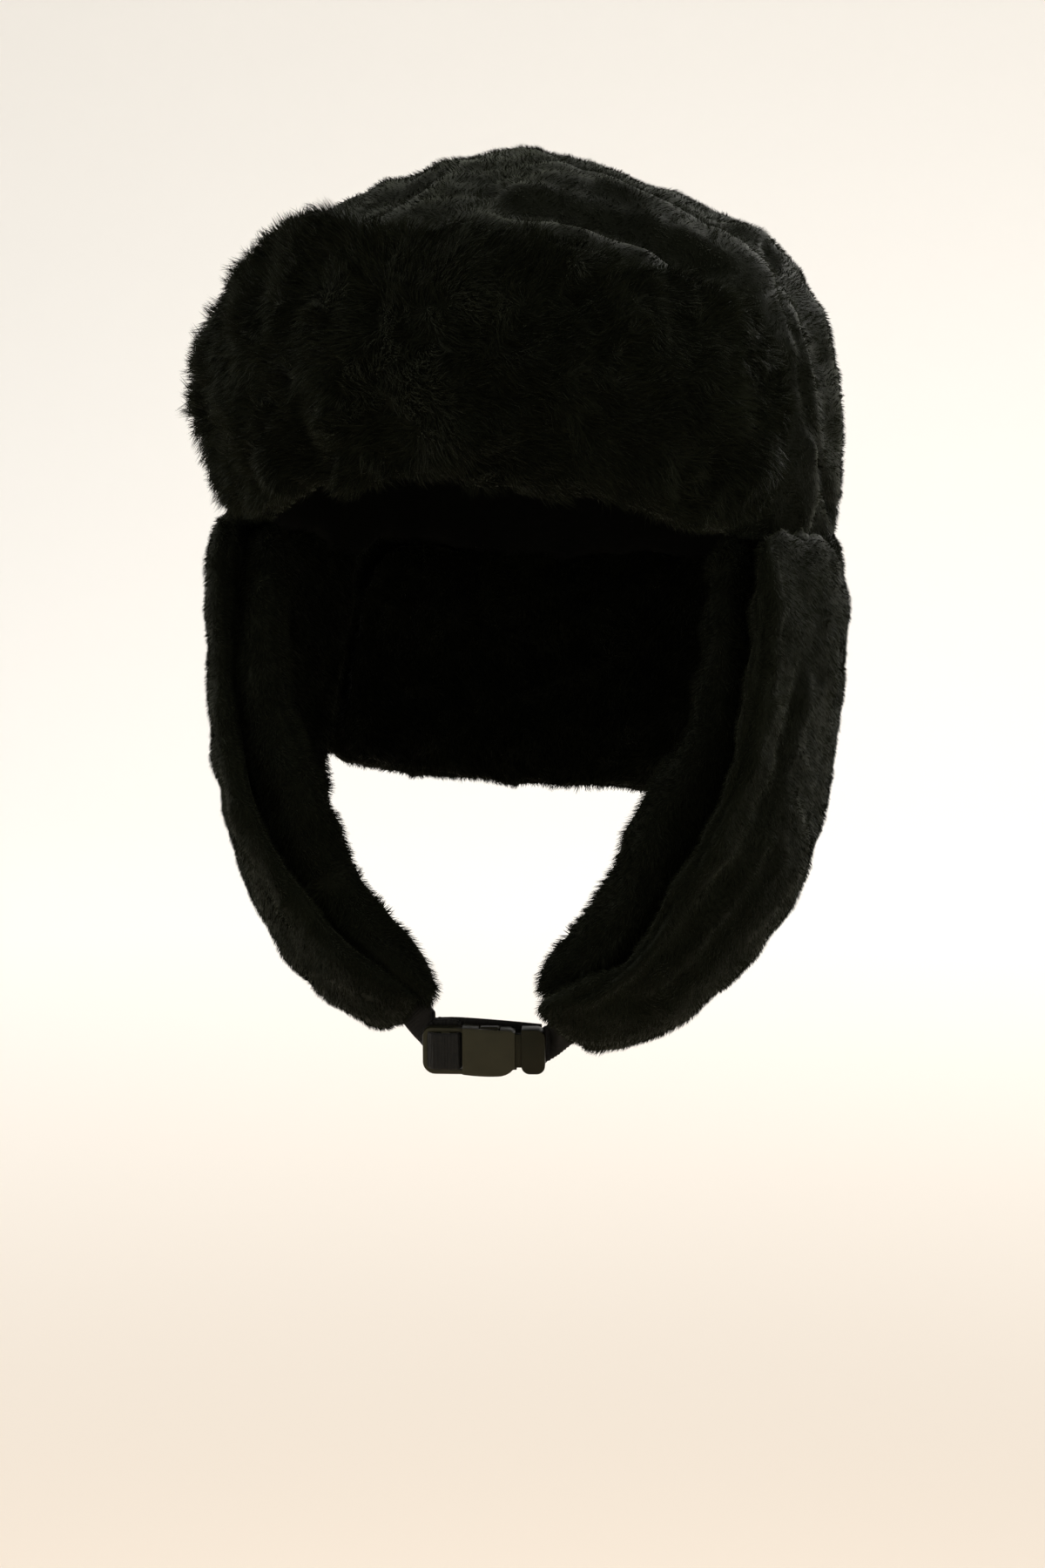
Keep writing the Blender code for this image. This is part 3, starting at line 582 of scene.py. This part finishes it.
def close_seam(node, points):
    """The flaps' upper edges are pushed up into the crown's rim, and the rim comes down to them."""
    forward = np.clip(-points[:, 1] / HEAD_FRONT, 0.0, 1.0)
    above = points[:, 2] - (-points[:, 1] * RIM_TILT + BROW_ARCH * forward**2.5)
    if node == "crown":
        points[:, 2] -= CROWN_DIPS * (1 - step_up(above, 0.0, SEAM_REACH))
    elif node != "front_flap":
        points[:, 2] += FLAPS_RISE * step_up(above, -SEAM_REACH, 0.0)
    if node.startswith("neck"):
        for side in ("left", "right"):
            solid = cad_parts["ear" + node[4:] + "_" + side].data
            corners, faces = read_points(solid).tolist(), read_triangles(solid).tolist()
            beside = BVHTree.FromPolygons(corners, faces)
            for index, point in enumerate(points):
                spot, _, _, gap = beside.find_nearest(point.tolist(), SIDE_REACH)
                if spot is not None:
                    points[index] += (np.array(spot) - point) * 0.9 * (1 - gap / SIDE_REACH)
    return points


def bell(distance, reach):
    """1 in the middle, and smoothly 0 from the reach on."""
    return np.clip(1 - (distance / reach) ** 2, 0.0, 1.0) ** 2


def distance_to_line(points, line):
    line = np.array(line) * MILLIMETRE
    nearest = np.full(len(points), np.inf)
    for start, end in zip(line[:-1], line[1:]):
        way = end - start
        share = np.clip((points - start) @ way / (way @ way), 0.0, 1.0)
        gap = np.linalg.norm(points - start - share[:, None] * way, axis=1)
        nearest = np.minimum(nearest, gap)
    return nearest


def fold_depth(node, points):
    """How far the folds and seams draw the form in, each place."""
    depth = np.zeros(len(points))
    for sink, reach, line in FOLDS.get(node, ()):
        depth += sink * MILLIMETRE * bell(distance_to_line(points, line), reach * MILLIMETRE)
    return depth


def push(node, points):
    moved = points.copy()
    for place, reach, move in PUSHES.get(node, ()):
        gap = np.linalg.norm(points - np.array(place) * MILLIMETRE, axis=1)
        moved += bell(gap, reach * MILLIMETRE)[:, None] * np.array(move) * MILLIMETRE
    return moved


def shape_form(form, node, drawn_in):
    """Draws the skin in under the pile and gives it the soft lumps of worn padding."""
    mesh = form.data
    points, normals = read_points(mesh), read_normals(mesh)
    furred = furred_share(node, points, normals)
    relief = -(drawn_in * MILLIMETRE + fold_depth(node, points)) * furred
    relief += 0.0007 * waves(points, 0.020, SEED + 11) * furred
    relief += 0.0004 * waves(points, 0.009, SEED + 12) * furred
    if node == "front_flap":
        relief += 0.0014 * waves(points, 0.030, SEED + 13) * furred
        relief += 0.0008 * waves(points, 0.013, SEED + 14) * furred
    points = close_seam(node, push(node, points + normals * relief[:, None]))
    mesh.vertices.foreach_set("co", points.ravel())
    mesh.update()


# ---------------------------------------------------------------- pile

BURIED = 0.0004  # how far the tufts' roots reach in under the skin
LEADERS = 0.09  # the share of the tufts that lead a clump
LOOSENESS = 0.30  # how far apart a clump's tips stay, for how far apart its roots are


def scatter(points, normals, triangles, share, count, dice):
    """Places on the skin, evenly over its area where it carries pile."""
    corners = points[triangles]
    spans = np.cross(corners[:, 1] - corners[:, 0], corners[:, 2] - corners[:, 0])
    areas = np.linalg.norm(spans, axis=1) / 2 * share[triangles].mean(axis=1)
    reach = np.cumsum(areas)
    picks = (np.arange(count) + dice.random(count)) / count * reach[-1]
    chosen = np.minimum(np.searchsorted(reach, picks), len(triangles) - 1)
    first, second = np.sqrt(dice.random(count)), dice.random(count)
    weights = np.stack([1 - first, first * (1 - second), first * second], axis=1)
    picked = triangles[chosen]
    place = np.einsum("nk,nkc->nc", weights, points[picked])
    facing = unit(np.einsum("nk,nkc->nc", weights, normals[picked]))
    carried = np.einsum("nk,nk->n", weights, share[picked])
    return place, facing, carried


def lay_of(normals, along, lean_root, lean_tip):
    start = normals * np.cos(lean_root)[:, None] + along * np.sin(lean_root)[:, None]
    end = normals * np.cos(lean_tip)[:, None] + along * np.sin(lean_tip)[:, None]
    return start, end


def grow_pile(form, node, pile, seed):
    """Tufts as thin tapered blades that lean, bend and gather into clumps."""
    dice = np.random.default_rng(seed)
    mesh = form.data
    points, normals, triangles = read_points(mesh), read_normals(mesh), read_triangles(mesh)
    share = furred_share(node, points, normals)
    count = pile["tufts"]
    roots, facing, carried = scatter(points, normals, triangles, share, count, dice)
    along = comb(node, roots, facing)
    across = np.cross(facing, along)
    swerve = dice.normal(0.0, 0.35, count)
    along = along * np.cos(swerve)[:, None] + across * np.sin(swerve)[:, None]
    length = pile["length"] * MILLIMETRE * dice.uniform(0.78, 1.14, count)
    length *= 1 + 0.16 * waves(roots, 0.010, SEED + 21)
    fringe = 0.0
    if node == "front_flap":
        fringe = step_up(-roots[:, 0], FRINGE_FROM, FRINGE_TO)
    length *= 1 + FRINGE_MORE * fringe
    length *= 0.35 + 0.65 * carried
    lean = [
        np.radians(pile[key]) + dice.normal(0.0, 0.13, count) for key in ("lean_root", "lean_tip")
    ]
    start, end = lay_of(facing, along, *lean)

    # Clumps pull their tufts' tips together
    clump = pile["clump"] * MILLIMETRE
    spacing = math.sqrt(2.2) * clump
    kept, tree_points = [], KDTree(count)
    for index in dice.permutation(count)[: count // 3]:
        kept.append(index)
        tree_points.insert(roots[index], len(kept) - 1)
        if len(kept) > max(200, int(count * LEADERS)):
            break
    tree_points.balance()
    nearest = np.array([tree_points.find(root)[1] for root in roots])
    leader = np.array(kept)[nearest]
    full = start + (end - start) / 2
    tips = roots + full * length[:, None]
    target = tips[leader] + LOOSENESS * (roots - roots[leader])
    pull = pile["gather"] * dice.uniform(0.6, 1.2, count) * (1 + fringe)
    reach = np.linalg.norm(target - tips, axis=1)
    pull *= np.minimum(1.0, 1.2 * spacing / np.maximum(reach, 1e-9))
    drift = (target - tips) * pull[:, None]

    roll = dice.normal(0.0, 0.45, count)
    side = unit(np.cross(full, facing))
    rolled = side * np.cos(roll)[:, None] + np.cross(unit(full), side) * np.sin(roll)[:, None]
    half_width = pile["width"] * MILLIMETRE / 2 * dice.uniform(0.7, 1.25, count)
    buried = facing * BURIED

    segments = pile["segments"]
    stations = np.linspace(0.0, 1.0, segments + 1)
    rings = []
    for t in stations:
        bent = start * t + (end - start) * t * t / 2
        centre = roots - buried + bent * length[:, None] + drift * t * t
        if t < 1.0:
            edge = rolled * (half_width * (1 - 0.75 * t**1.5))[:, None]
            rings += [centre - edge, centre + edge]
        else:
            rings.append(centre)
    blade = np.stack(rings, axis=1)
    per = blade.shape[1]
    faces, sizes = [], []
    for k in range(segments - 1):
        faces += [2 * k, 2 * k + 1, 2 * k + 3, 2 * k + 2]
        sizes.append(4)
    last = 2 * (segments - 1)
    faces += [last, last + 1, last + 2]
    sizes.append(3)
    corner = (np.arange(count)[:, None] * per + np.array(faces)[None, :]).ravel()
    tip = np.concatenate([[t, t] for t in stations[:-1]] + [[1.0]])
    return {
        "points": blade.reshape(-1, 3),
        "corners": corner,
        "sizes": np.tile(sizes, count),
        "tip": np.tile(tip, count),
        "tuft": np.repeat(dice.random(count), per),
    }


def dress_form(form, coats):
    """Adds the tufts to the form's mesh, with their tip and tuft attributes.

    Gives how many of the mesh's faces are the form's own skin, which come first.
    """
    skin = form.data
    grown = {key: coats[0][key] for key in ("points", "corners", "sizes", "tip", "tuft")}
    for coat in coats[1:]:
        moved = dict(coat, corners=coat["corners"] + len(grown["points"]))
        grown = {key: np.concatenate([grown[key], moved[key]]) for key in grown}
    base = read_points(skin)
    loops = np.empty(len(skin.loops), dtype=np.int64)
    skin.loops.foreach_get("vertex_index", loops)
    sizes = np.empty(len(skin.polygons), dtype=np.int64)
    skin.polygons.foreach_get("loop_total", sizes)
    points = np.concatenate([base, grown["points"]])
    corners = np.concatenate([loops, grown["corners"] + len(base)])
    totals = np.concatenate([sizes, grown["sizes"]])
    starts = np.concatenate([[0], np.cumsum(totals)[:-1]])
    mesh = bpy.data.meshes.new(form.name)
    mesh.vertices.add(len(points))
    mesh.vertices.foreach_set("co", points.ravel())
    mesh.loops.add(len(corners))
    mesh.loops.foreach_set("vertex_index", corners)
    mesh.polygons.add(len(totals))
    mesh.polygons.foreach_set("loop_start", starts)
    mesh.polygons.foreach_set("use_smooth", np.ones(len(totals), dtype=bool))
    mesh.update(calc_edges=True)
    for name, values in (("tip", grown["tip"]), ("tuft", grown["tuft"])):
        attribute = mesh.attributes.new(name, "FLOAT", "POINT")
        # The skin under the pile takes the roots' painted shade.
        under = np.full(len(base), 0.05 if name == "tip" else 0.4)
        attribute.data.foreach_set("value", np.concatenate([under, values]))
    form.data = mesh
    return len(sizes)


def line_inside(form, cloth, skin_faces):
    """The crown's inside takes the plain cloth."""
    mesh = form.data
    mesh.materials.append(cloth)
    for face in mesh.polygons[:skin_faces]:
        middle = face.center
        outward = (middle - Vector((0.0, 0.0, -0.02))).normalized()
        if face.normal.dot(outward) < -0.1:
            face.material_index = 1


def make_fur(finishes):
    for number, (node, (slot, drawn_in)) in enumerate(FORMS.items()):
        form = padded_form(node, node + "_fur", FORM_GRAIN)
        shape_form(form, node, drawn_in)
        coats = [
            grow_pile(form, node, look_up(COAT_COLUMNS, row), SEED + 100 + 10 * number + layer)
            for layer, row in enumerate(COATS[node])
        ]
        skin_faces = dress_form(form, coats)
        form.data.materials.append(finishes[slot])
        if node == "crown":
            line_inside(form, finishes["inside_cloth"], skin_faces)
        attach(form, "root")
        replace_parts(form, node)


# ---------------------------------------------------------------- buckle

# The buckle's own directions: x along it, y to the back, z up; millimetres
BUCKLE_PLACE = (0.0, -50.0, -164.5)
BUCKLE_TURN = math.radians(12)
BUCKLE_TOP, BUCKLE_BACK = 7.8, 3.1
FRAME_START, FRAME_FACE, FRAME_RAIL = -20.1, -1.2, 1.7
FRAME_CORNERS = (2.8, 4.2)  # the upper and the lower one
FRAME_UNDER = 2.2  # how far the frame runs in under the body
BODY_START, BODY_END = -7.0, 10.2
BODY_WALL, BODY_SWELL, BODY_CROWN, BODY_RISE = 1.3, 0.6, 0.35, 0.4
TOP_FALL, TOP_CORNER, LOW_CORNER = 0.8, 0.7, 2.4  # how the body's outline falls to its open end
RELEASE_START, RELEASE_END = -1.84, 5.38
NECK_START, NECK_LOW, NECK_TOP = 9.8, -5.0, 6.2
NECK_FACE, NECK_SET_IN = 1.2, 0.4  # past the prongs' faces, and in from the base's back
BASE_START, BASE_END, BASE_LOW, BASE_CORNER = 12.3, 20.1, -7.1, 2.8
POCKET_RIM, POCKET_DEPTH = 1.7, 3.2
CROSS_BAR = ((-14.0, -1.4, -6.6), (-11.2, 1.2, 6.6))
PRONG_TIP, PRONG_LOW, PRONG_TOP, PRONG_DEPTH = -1.9, 4.3, 6.1, 1.4
PAD_START, PAD_END, PAD_TOP, PAD_SUNK = -1.15, 4.7, 8.2, 0.9
OVERLAP = 1.0  # how far joined blocks reach into each other
EASED_EDGE = 0.3
CORNER_SEGMENTS = 7
GUIDE = ((3.0, -1.4, -0.8), (11.2, 1.4, 0.8))


def in_buckle(x, y, z):
    along = Vector((math.cos(BUCKLE_TURN), math.sin(BUCKLE_TURN), 0.0))
    back = Vector((-along.y, along.x, 0.0))
    return (Vector(BUCKLE_PLACE) + along * x + back * y + Vector((0.0, 0.0, z))) * MILLIMETRE


def add_block(shape, low, high):
    """Adds a box between two corners to the shape."""
    low, high = Vector(low), Vector(high)
    for vertex in bmesh.ops.create_cube(shape, size=1.0)["verts"]:
        for axis in range(3):
            middle, span = (low[axis] + high[axis]) / 2, high[axis] - low[axis]
            vertex.co[axis] = middle + vertex.co[axis] * span


def corner_edges(shape, x, side):
    """The edges that run from front to back at that end, above or below."""
    return [
        edge for edge in shape.edges
        if all(abs(v.co.x - x) < 1e-4 and v.co.z * side > 0 for v in edge.verts)
        and abs(edge.verts[0].co.y - edge.verts[1].co.y) > 1e-3
    ]


def round_off(shape, edges, offset):
    bmesh.ops.bevel(
        shape, geom=edges, offset=offset, segments=CORNER_SEGMENTS, profile=0.5, material=-1,
        affect="EDGES",
    )


def hard_piece(name, shape, plastic):
    """The finished moulding: its edges eased, in its place on the buckle."""
    bmesh.ops.recalc_face_normals(shape, faces=shape.faces)
    mesh = bpy.data.meshes.new(name)
    shape.to_mesh(mesh)
    shape.free()
    piece = link(name, mesh)
    eased = piece.modifiers.new("eased edges", "BEVEL")
    eased.width = EASED_EDGE
    eased.segments = 2
    eased.limit_method = "ANGLE"
    eased.angle_limit = math.radians(40)
    mesh = bake(piece)
    for vertex in mesh.vertices:
        vertex.co = in_buckle(*vertex.co)
    for face in mesh.polygons:
        face.use_smooth = True
    mesh.set_sharp_from_angle(angle=math.radians(32))
    mesh.materials.append(plastic)
    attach(piece, "root")
    return piece


def mould_frame(plastic):
    """The adjuster frame: a rounded ring round its window, with the cross bar."""
    shape = bmesh.new()
    low = (FRAME_START, FRAME_FACE, -BUCKLE_TOP)
    high = (BODY_START + FRAME_UNDER, BUCKLE_BACK, BUCKLE_TOP)
    add_block(shape, low, high)
    for side, corner in zip((1, -1), FRAME_CORNERS):
        round_off(shape, corner_edges(shape, FRAME_START, side), corner)
    faces = [face for face in shape.faces if abs(face.normal.y) > 0.9]
    bmesh.ops.inset_individual(shape, faces=faces, thickness=FRAME_RAIL, use_even_offset=True)
    rims = [edge for face in faces for edge in face.edges]
    bmesh.ops.delete(shape, geom=faces, context="FACES_ONLY")
    bmesh.ops.bridge_loops(shape, edges=rims)
    add_block(shape, *CROSS_BAR)
    return hard_piece("adjuster_frame", shape, plastic)


def mould_body(plastic):
    """The hollow body: swelling a little in height and face, with its two release windows."""
    shape = bmesh.new()
    add_block(shape, (BODY_START, -BUCKLE_BACK, -BUCKLE_TOP), (BODY_END, BUCKLE_BACK, BUCKLE_TOP))
    cuts = sorted([RELEASE_START, RELEASE_END] + list(np.linspace(BODY_START, BODY_END, 13)[1:-1]))
    planes = [((x, 0, 0), (1, 0, 0)) for x in cuts]
    planes += [((0, 0, z * BUCKLE_TOP), (0, 0, 1)) for z in (-0.8, -0.4, 0.0, 0.4, 0.8)]
    for place, facing in planes:
        bmesh.ops.bisect_plane(
            shape, geom=shape.verts[:] + shape.edges[:] + shape.faces[:], plane_co=place,
            plane_no=facing,
        )
    shape.normal_update()
    openings = [
        face for face in shape.faces
        if face.normal.x > 0.9 or (
            abs(face.normal.z) > 0.9
            and RELEASE_START < face.calc_center_median().x < RELEASE_END
        )
    ]
    bmesh.ops.delete(shape, geom=openings, context="FACES")
    middle, half = (BODY_START + BODY_END) / 2, (BODY_END - BODY_START) / 2
    for vertex in shape.verts:
        x, y, z = vertex.co
        along = (x - middle) / half
        swell = 1 - along**2
        if z < 0:
            reach = BODY_SWELL * swell - LOW_CORNER * max((along - 0.35) / 0.65, 0.0) ** 2.6
        else:
            reach = -TOP_FALL * (1 + along) / 2 - TOP_CORNER * max((along - 0.8) / 0.2, 0.0) ** 2
        vertex.co.z += reach * z / BUCKLE_TOP + BODY_RISE
        if y < 0:
            vertex.co.y -= BODY_CROWN * swell * (1 - (z / BUCKLE_TOP) ** 2)
    bmesh.ops.solidify(shape, geom=shape.faces[:], thickness=BODY_WALL)
    return hard_piece("buckle_sleeve", shape, plastic)


def mould_prongs(plastic):
    """The half that clicks in: its rounded base with the strap's pocket, prongs, pads, guide."""
    shape = bmesh.new()
    add_block(shape, (BASE_START, -BUCKLE_BACK, BASE_LOW), (BASE_END, BUCKLE_BACK, BUCKLE_TOP))
    for x, side in ((BASE_END, 1), (BASE_END, -1), (BASE_START, -1)):
        round_off(shape, corner_edges(shape, x, side), BASE_CORNER)
    back = [face for face in shape.faces if face.normal.y > 0.9]
    bmesh.ops.inset_individual(shape, faces=back, thickness=POCKET_RIM, use_even_offset=True)
    floor = bmesh.ops.extrude_face_region(shape, geom=back)["geom"]
    bmesh.ops.delete(shape, geom=back, context="FACES_ONLY")
    sunk = [part for part in floor if isinstance(part, bmesh.types.BMVert)]
    bmesh.ops.translate(shape, verts=sunk, vec=(0.0, -POCKET_DEPTH, 0.0))
    low = (NECK_START, -PRONG_DEPTH - NECK_FACE, NECK_LOW)
    add_block(shape, low, (BASE_START + OVERLAP, BUCKLE_BACK - NECK_SET_IN, NECK_TOP))
    add_block(shape, *GUIDE)
    for side in (1, -1):
        for x0, x1, z0, z1 in (
            (PRONG_TIP, NECK_START + OVERLAP, PRONG_LOW, PRONG_TOP),
            (PAD_START, PAD_END, PRONG_TOP - PAD_SUNK, PAD_TOP),
        ):
            low, high = sorted((side * z0, side * z1))
            add_block(shape, (x0, -PRONG_DEPTH, low), (x1, PRONG_DEPTH, high))
    return hard_piece("prong_half", shape, plastic)


def make_buckle():
    plastic = moulded_plastic("moulded plastic", PLASTIC_DEPTH)
    frame_ring, sleeve = mould_frame(plastic), mould_body(plastic)
    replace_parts(frame_ring, "buckle_body")
    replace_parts(sleeve, "buckle_body")
    # A lower-grey copy of the plastic for the prong half: painted shade.
    shaded = moulded_plastic("darker plastic", SHADED_PLASTIC_DEPTH)
    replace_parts(mould_prongs(shaded), "buckle_prongs")


# ---------------------------------------------------------------- chin strap

# Each strap's route: first in the scene's directions with the band's direction across, from its
# seat in the ear flap's tip, then in the buckle's directions with the band upright; millimetres
STRAP_SEATS = {
    "strap_adjustable": (
        ((-32.98, -44.03, -149.53), (0.375, -0.720, 0.584)),
        ((-28.50, -45.50, -150.60), (0.520, -0.500, 0.690)),
        ((-24.20, -46.20, -154.60), (0.620, -0.200, 0.760)),
        ((-20.60, -46.00, -158.60), (0.400, -0.100, 0.910)),
    ),
    "strap_fixed": (
        ((32.92, -44.05, -153.85), (-0.375, -0.720, 0.584)),
        ((29.40, -45.33, -155.24), (-0.375, -0.720, 0.584)),
        ((23.60, -43.60, -159.20), (-0.232, -0.444, 0.866)),
    ),
}
STRAP_THREADS = {
    "strap_adjustable": (
        (-16.2, 4.1, 3.2), (-12.6, 4.2, 3.4), (-8.8, 4.0, 2.8),
        (-7.6, 3.0, 1.6), (-7.5, 0.9, 0.7), (-7.9, -1.2, 0.4), (-8.9, -2.3, 0.3),
        (-12.6, -2.8, 0.3), (-16.8, -2.3, 0.3), (-17.9, -1.2, 0.4), (-18.2, 1.2, 0.8),
        (-18.1, 3.8, 2.0), (-16.8, 5.6, 3.2), (-12.0, 6.0, 3.6), (1.0, 6.1, 3.0),
        (10.6, 6.3, 2.2), (18.7, 6.5, 1.4),
    ),
    "strap_fixed": (
        (21.4, 4.1, 2.2), (19.6, 4.0, 1.1), (17.9, 3.1, 0.4), (17.2, 1.6, 0.1), (16.4, 0.8, 0.0),
    ),
}
WEBBING_WIDTH = 0.0121
WEBBING_THICKNESS = 0.0012
RIB_PITCH = 0.00095
RIB_HEIGHT = 0.00022
ROLLED_FROM = 0.86  # where across the band its edge starts to roll off


def strap_route(name):
    rows = [[c * MILLIMETRE for c in place] + list(across) for place, across in STRAP_SEATS[name]]
    for place in STRAP_THREADS[name]:
        rows.append(list(in_buckle(*place)) + [0.0, 0.0, 1.0])
    return rows


def smooth_stations(rows, pitch):
    """The route's stations, read closely from one smooth line through its points."""
    keys = np.array(rows, dtype=float)
    runs = np.linalg.norm(np.diff(keys[:, :3], axis=0), axis=1)
    at = np.concatenate([[0], np.cumsum(runs)])
    slopes = np.gradient(keys, at, axis=0)
    wanted = np.linspace(0, at[-1], max(int(at[-1] / pitch), 2) + 1)
    low = np.clip(np.searchsorted(at, wanted, side="right") - 1, 0, len(at) - 2)
    span = (at[low + 1] - at[low])[:, None]
    t = ((wanted - at[low]) / span[:, 0])[:, None]
    rows = (
        keys[low] * (2 * t**3 - 3 * t**2 + 1)
        + slopes[low] * 0.6 * span * (t**3 - 2 * t**2 + t)
        + keys[low + 1] * (-2 * t**3 + 3 * t**2)
        + slopes[low + 1] * 0.6 * span * (t**3 - t**2)
    )
    return wanted, rows


def weave_strap(name, rows, material):
    """A flat band with the cross ribs of its weave and a firmer rolled edge."""
    wanted, stations = smooth_stations(rows, RIB_PITCH / 4)
    shape = bmesh.new()
    bmesh.ops.create_grid(shape, x_segments=12, y_segments=len(stations) - 1, size=1.0)
    for vertex in shape.verts:
        across, along = vertex.co.x, (vertex.co.y + 1) / 2
        station = stations[round(along * (len(stations) - 1))]
        sideways = Vector(station[3:]).normalized()
        vertex.co = Vector(station[:3]) + sideways * (WEBBING_WIDTH / 2 * across)
    shape.normal_update()
    mesh = bpy.data.meshes.new(name)
    shape.to_mesh(mesh)
    shape.free()
    band = link(name + "_webbing", mesh)
    core = band.modifiers.new("thickness", "SOLIDIFY")
    core.thickness = WEBBING_THICKNESS - 2 * RIB_HEIGHT
    core.offset = 0.0
    mesh = bake(band)
    points, normals = read_points(mesh), read_normals(mesh)
    tree = KDTree(len(stations))
    for index, station in enumerate(stations):
        tree.insert(station[:3], index)
    tree.balance()
    lifted = []
    for point, normal in zip(points, normals):
        _, index, _ = tree.find(point)
        station = stations[index]
        middle, sideways = Vector(station[:3]), Vector(station[3:]).normalized()
        across = abs((Vector(point) - middle).dot(sideways)) / (WEBBING_WIDTH / 2)
        phase = wanted[index] / RIB_PITCH * 2 * math.pi
        rib = 0.5 + 0.5 * math.cos(phase)
        rolled = 1 - max(across - ROLLED_FROM, 0.0) / (1 - ROLLED_FROM)
        height = rib * 1.2 if across < ROLLED_FROM else 1.0
        lifted.append(point + normal * RIB_HEIGHT * height * rolled)
    mesh.vertices.foreach_set("co", np.array(lifted).ravel())
    mesh.update()
    mesh.materials.append(material)
    for face in mesh.polygons:
        face.use_smooth = True
    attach(band, "root")
    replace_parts(band, name)


aim_camera()
light_studio()
lay_floor()
finishes = {
    "plush_fur": fur_with_root_shade("plush fur", 0.0040, 0.075, 0.35),
    "lining_fur": fur_with_root_shade("lining fur", 0.0034, 0.035, 0.40),
    "inside_cloth": inside_cloth(),
}
make_fur(finishes)
webbing = nylon_webbing()
for name in STRAP_SEATS:
    weave_strap(name, strap_route(name), webbing)
make_buckle()
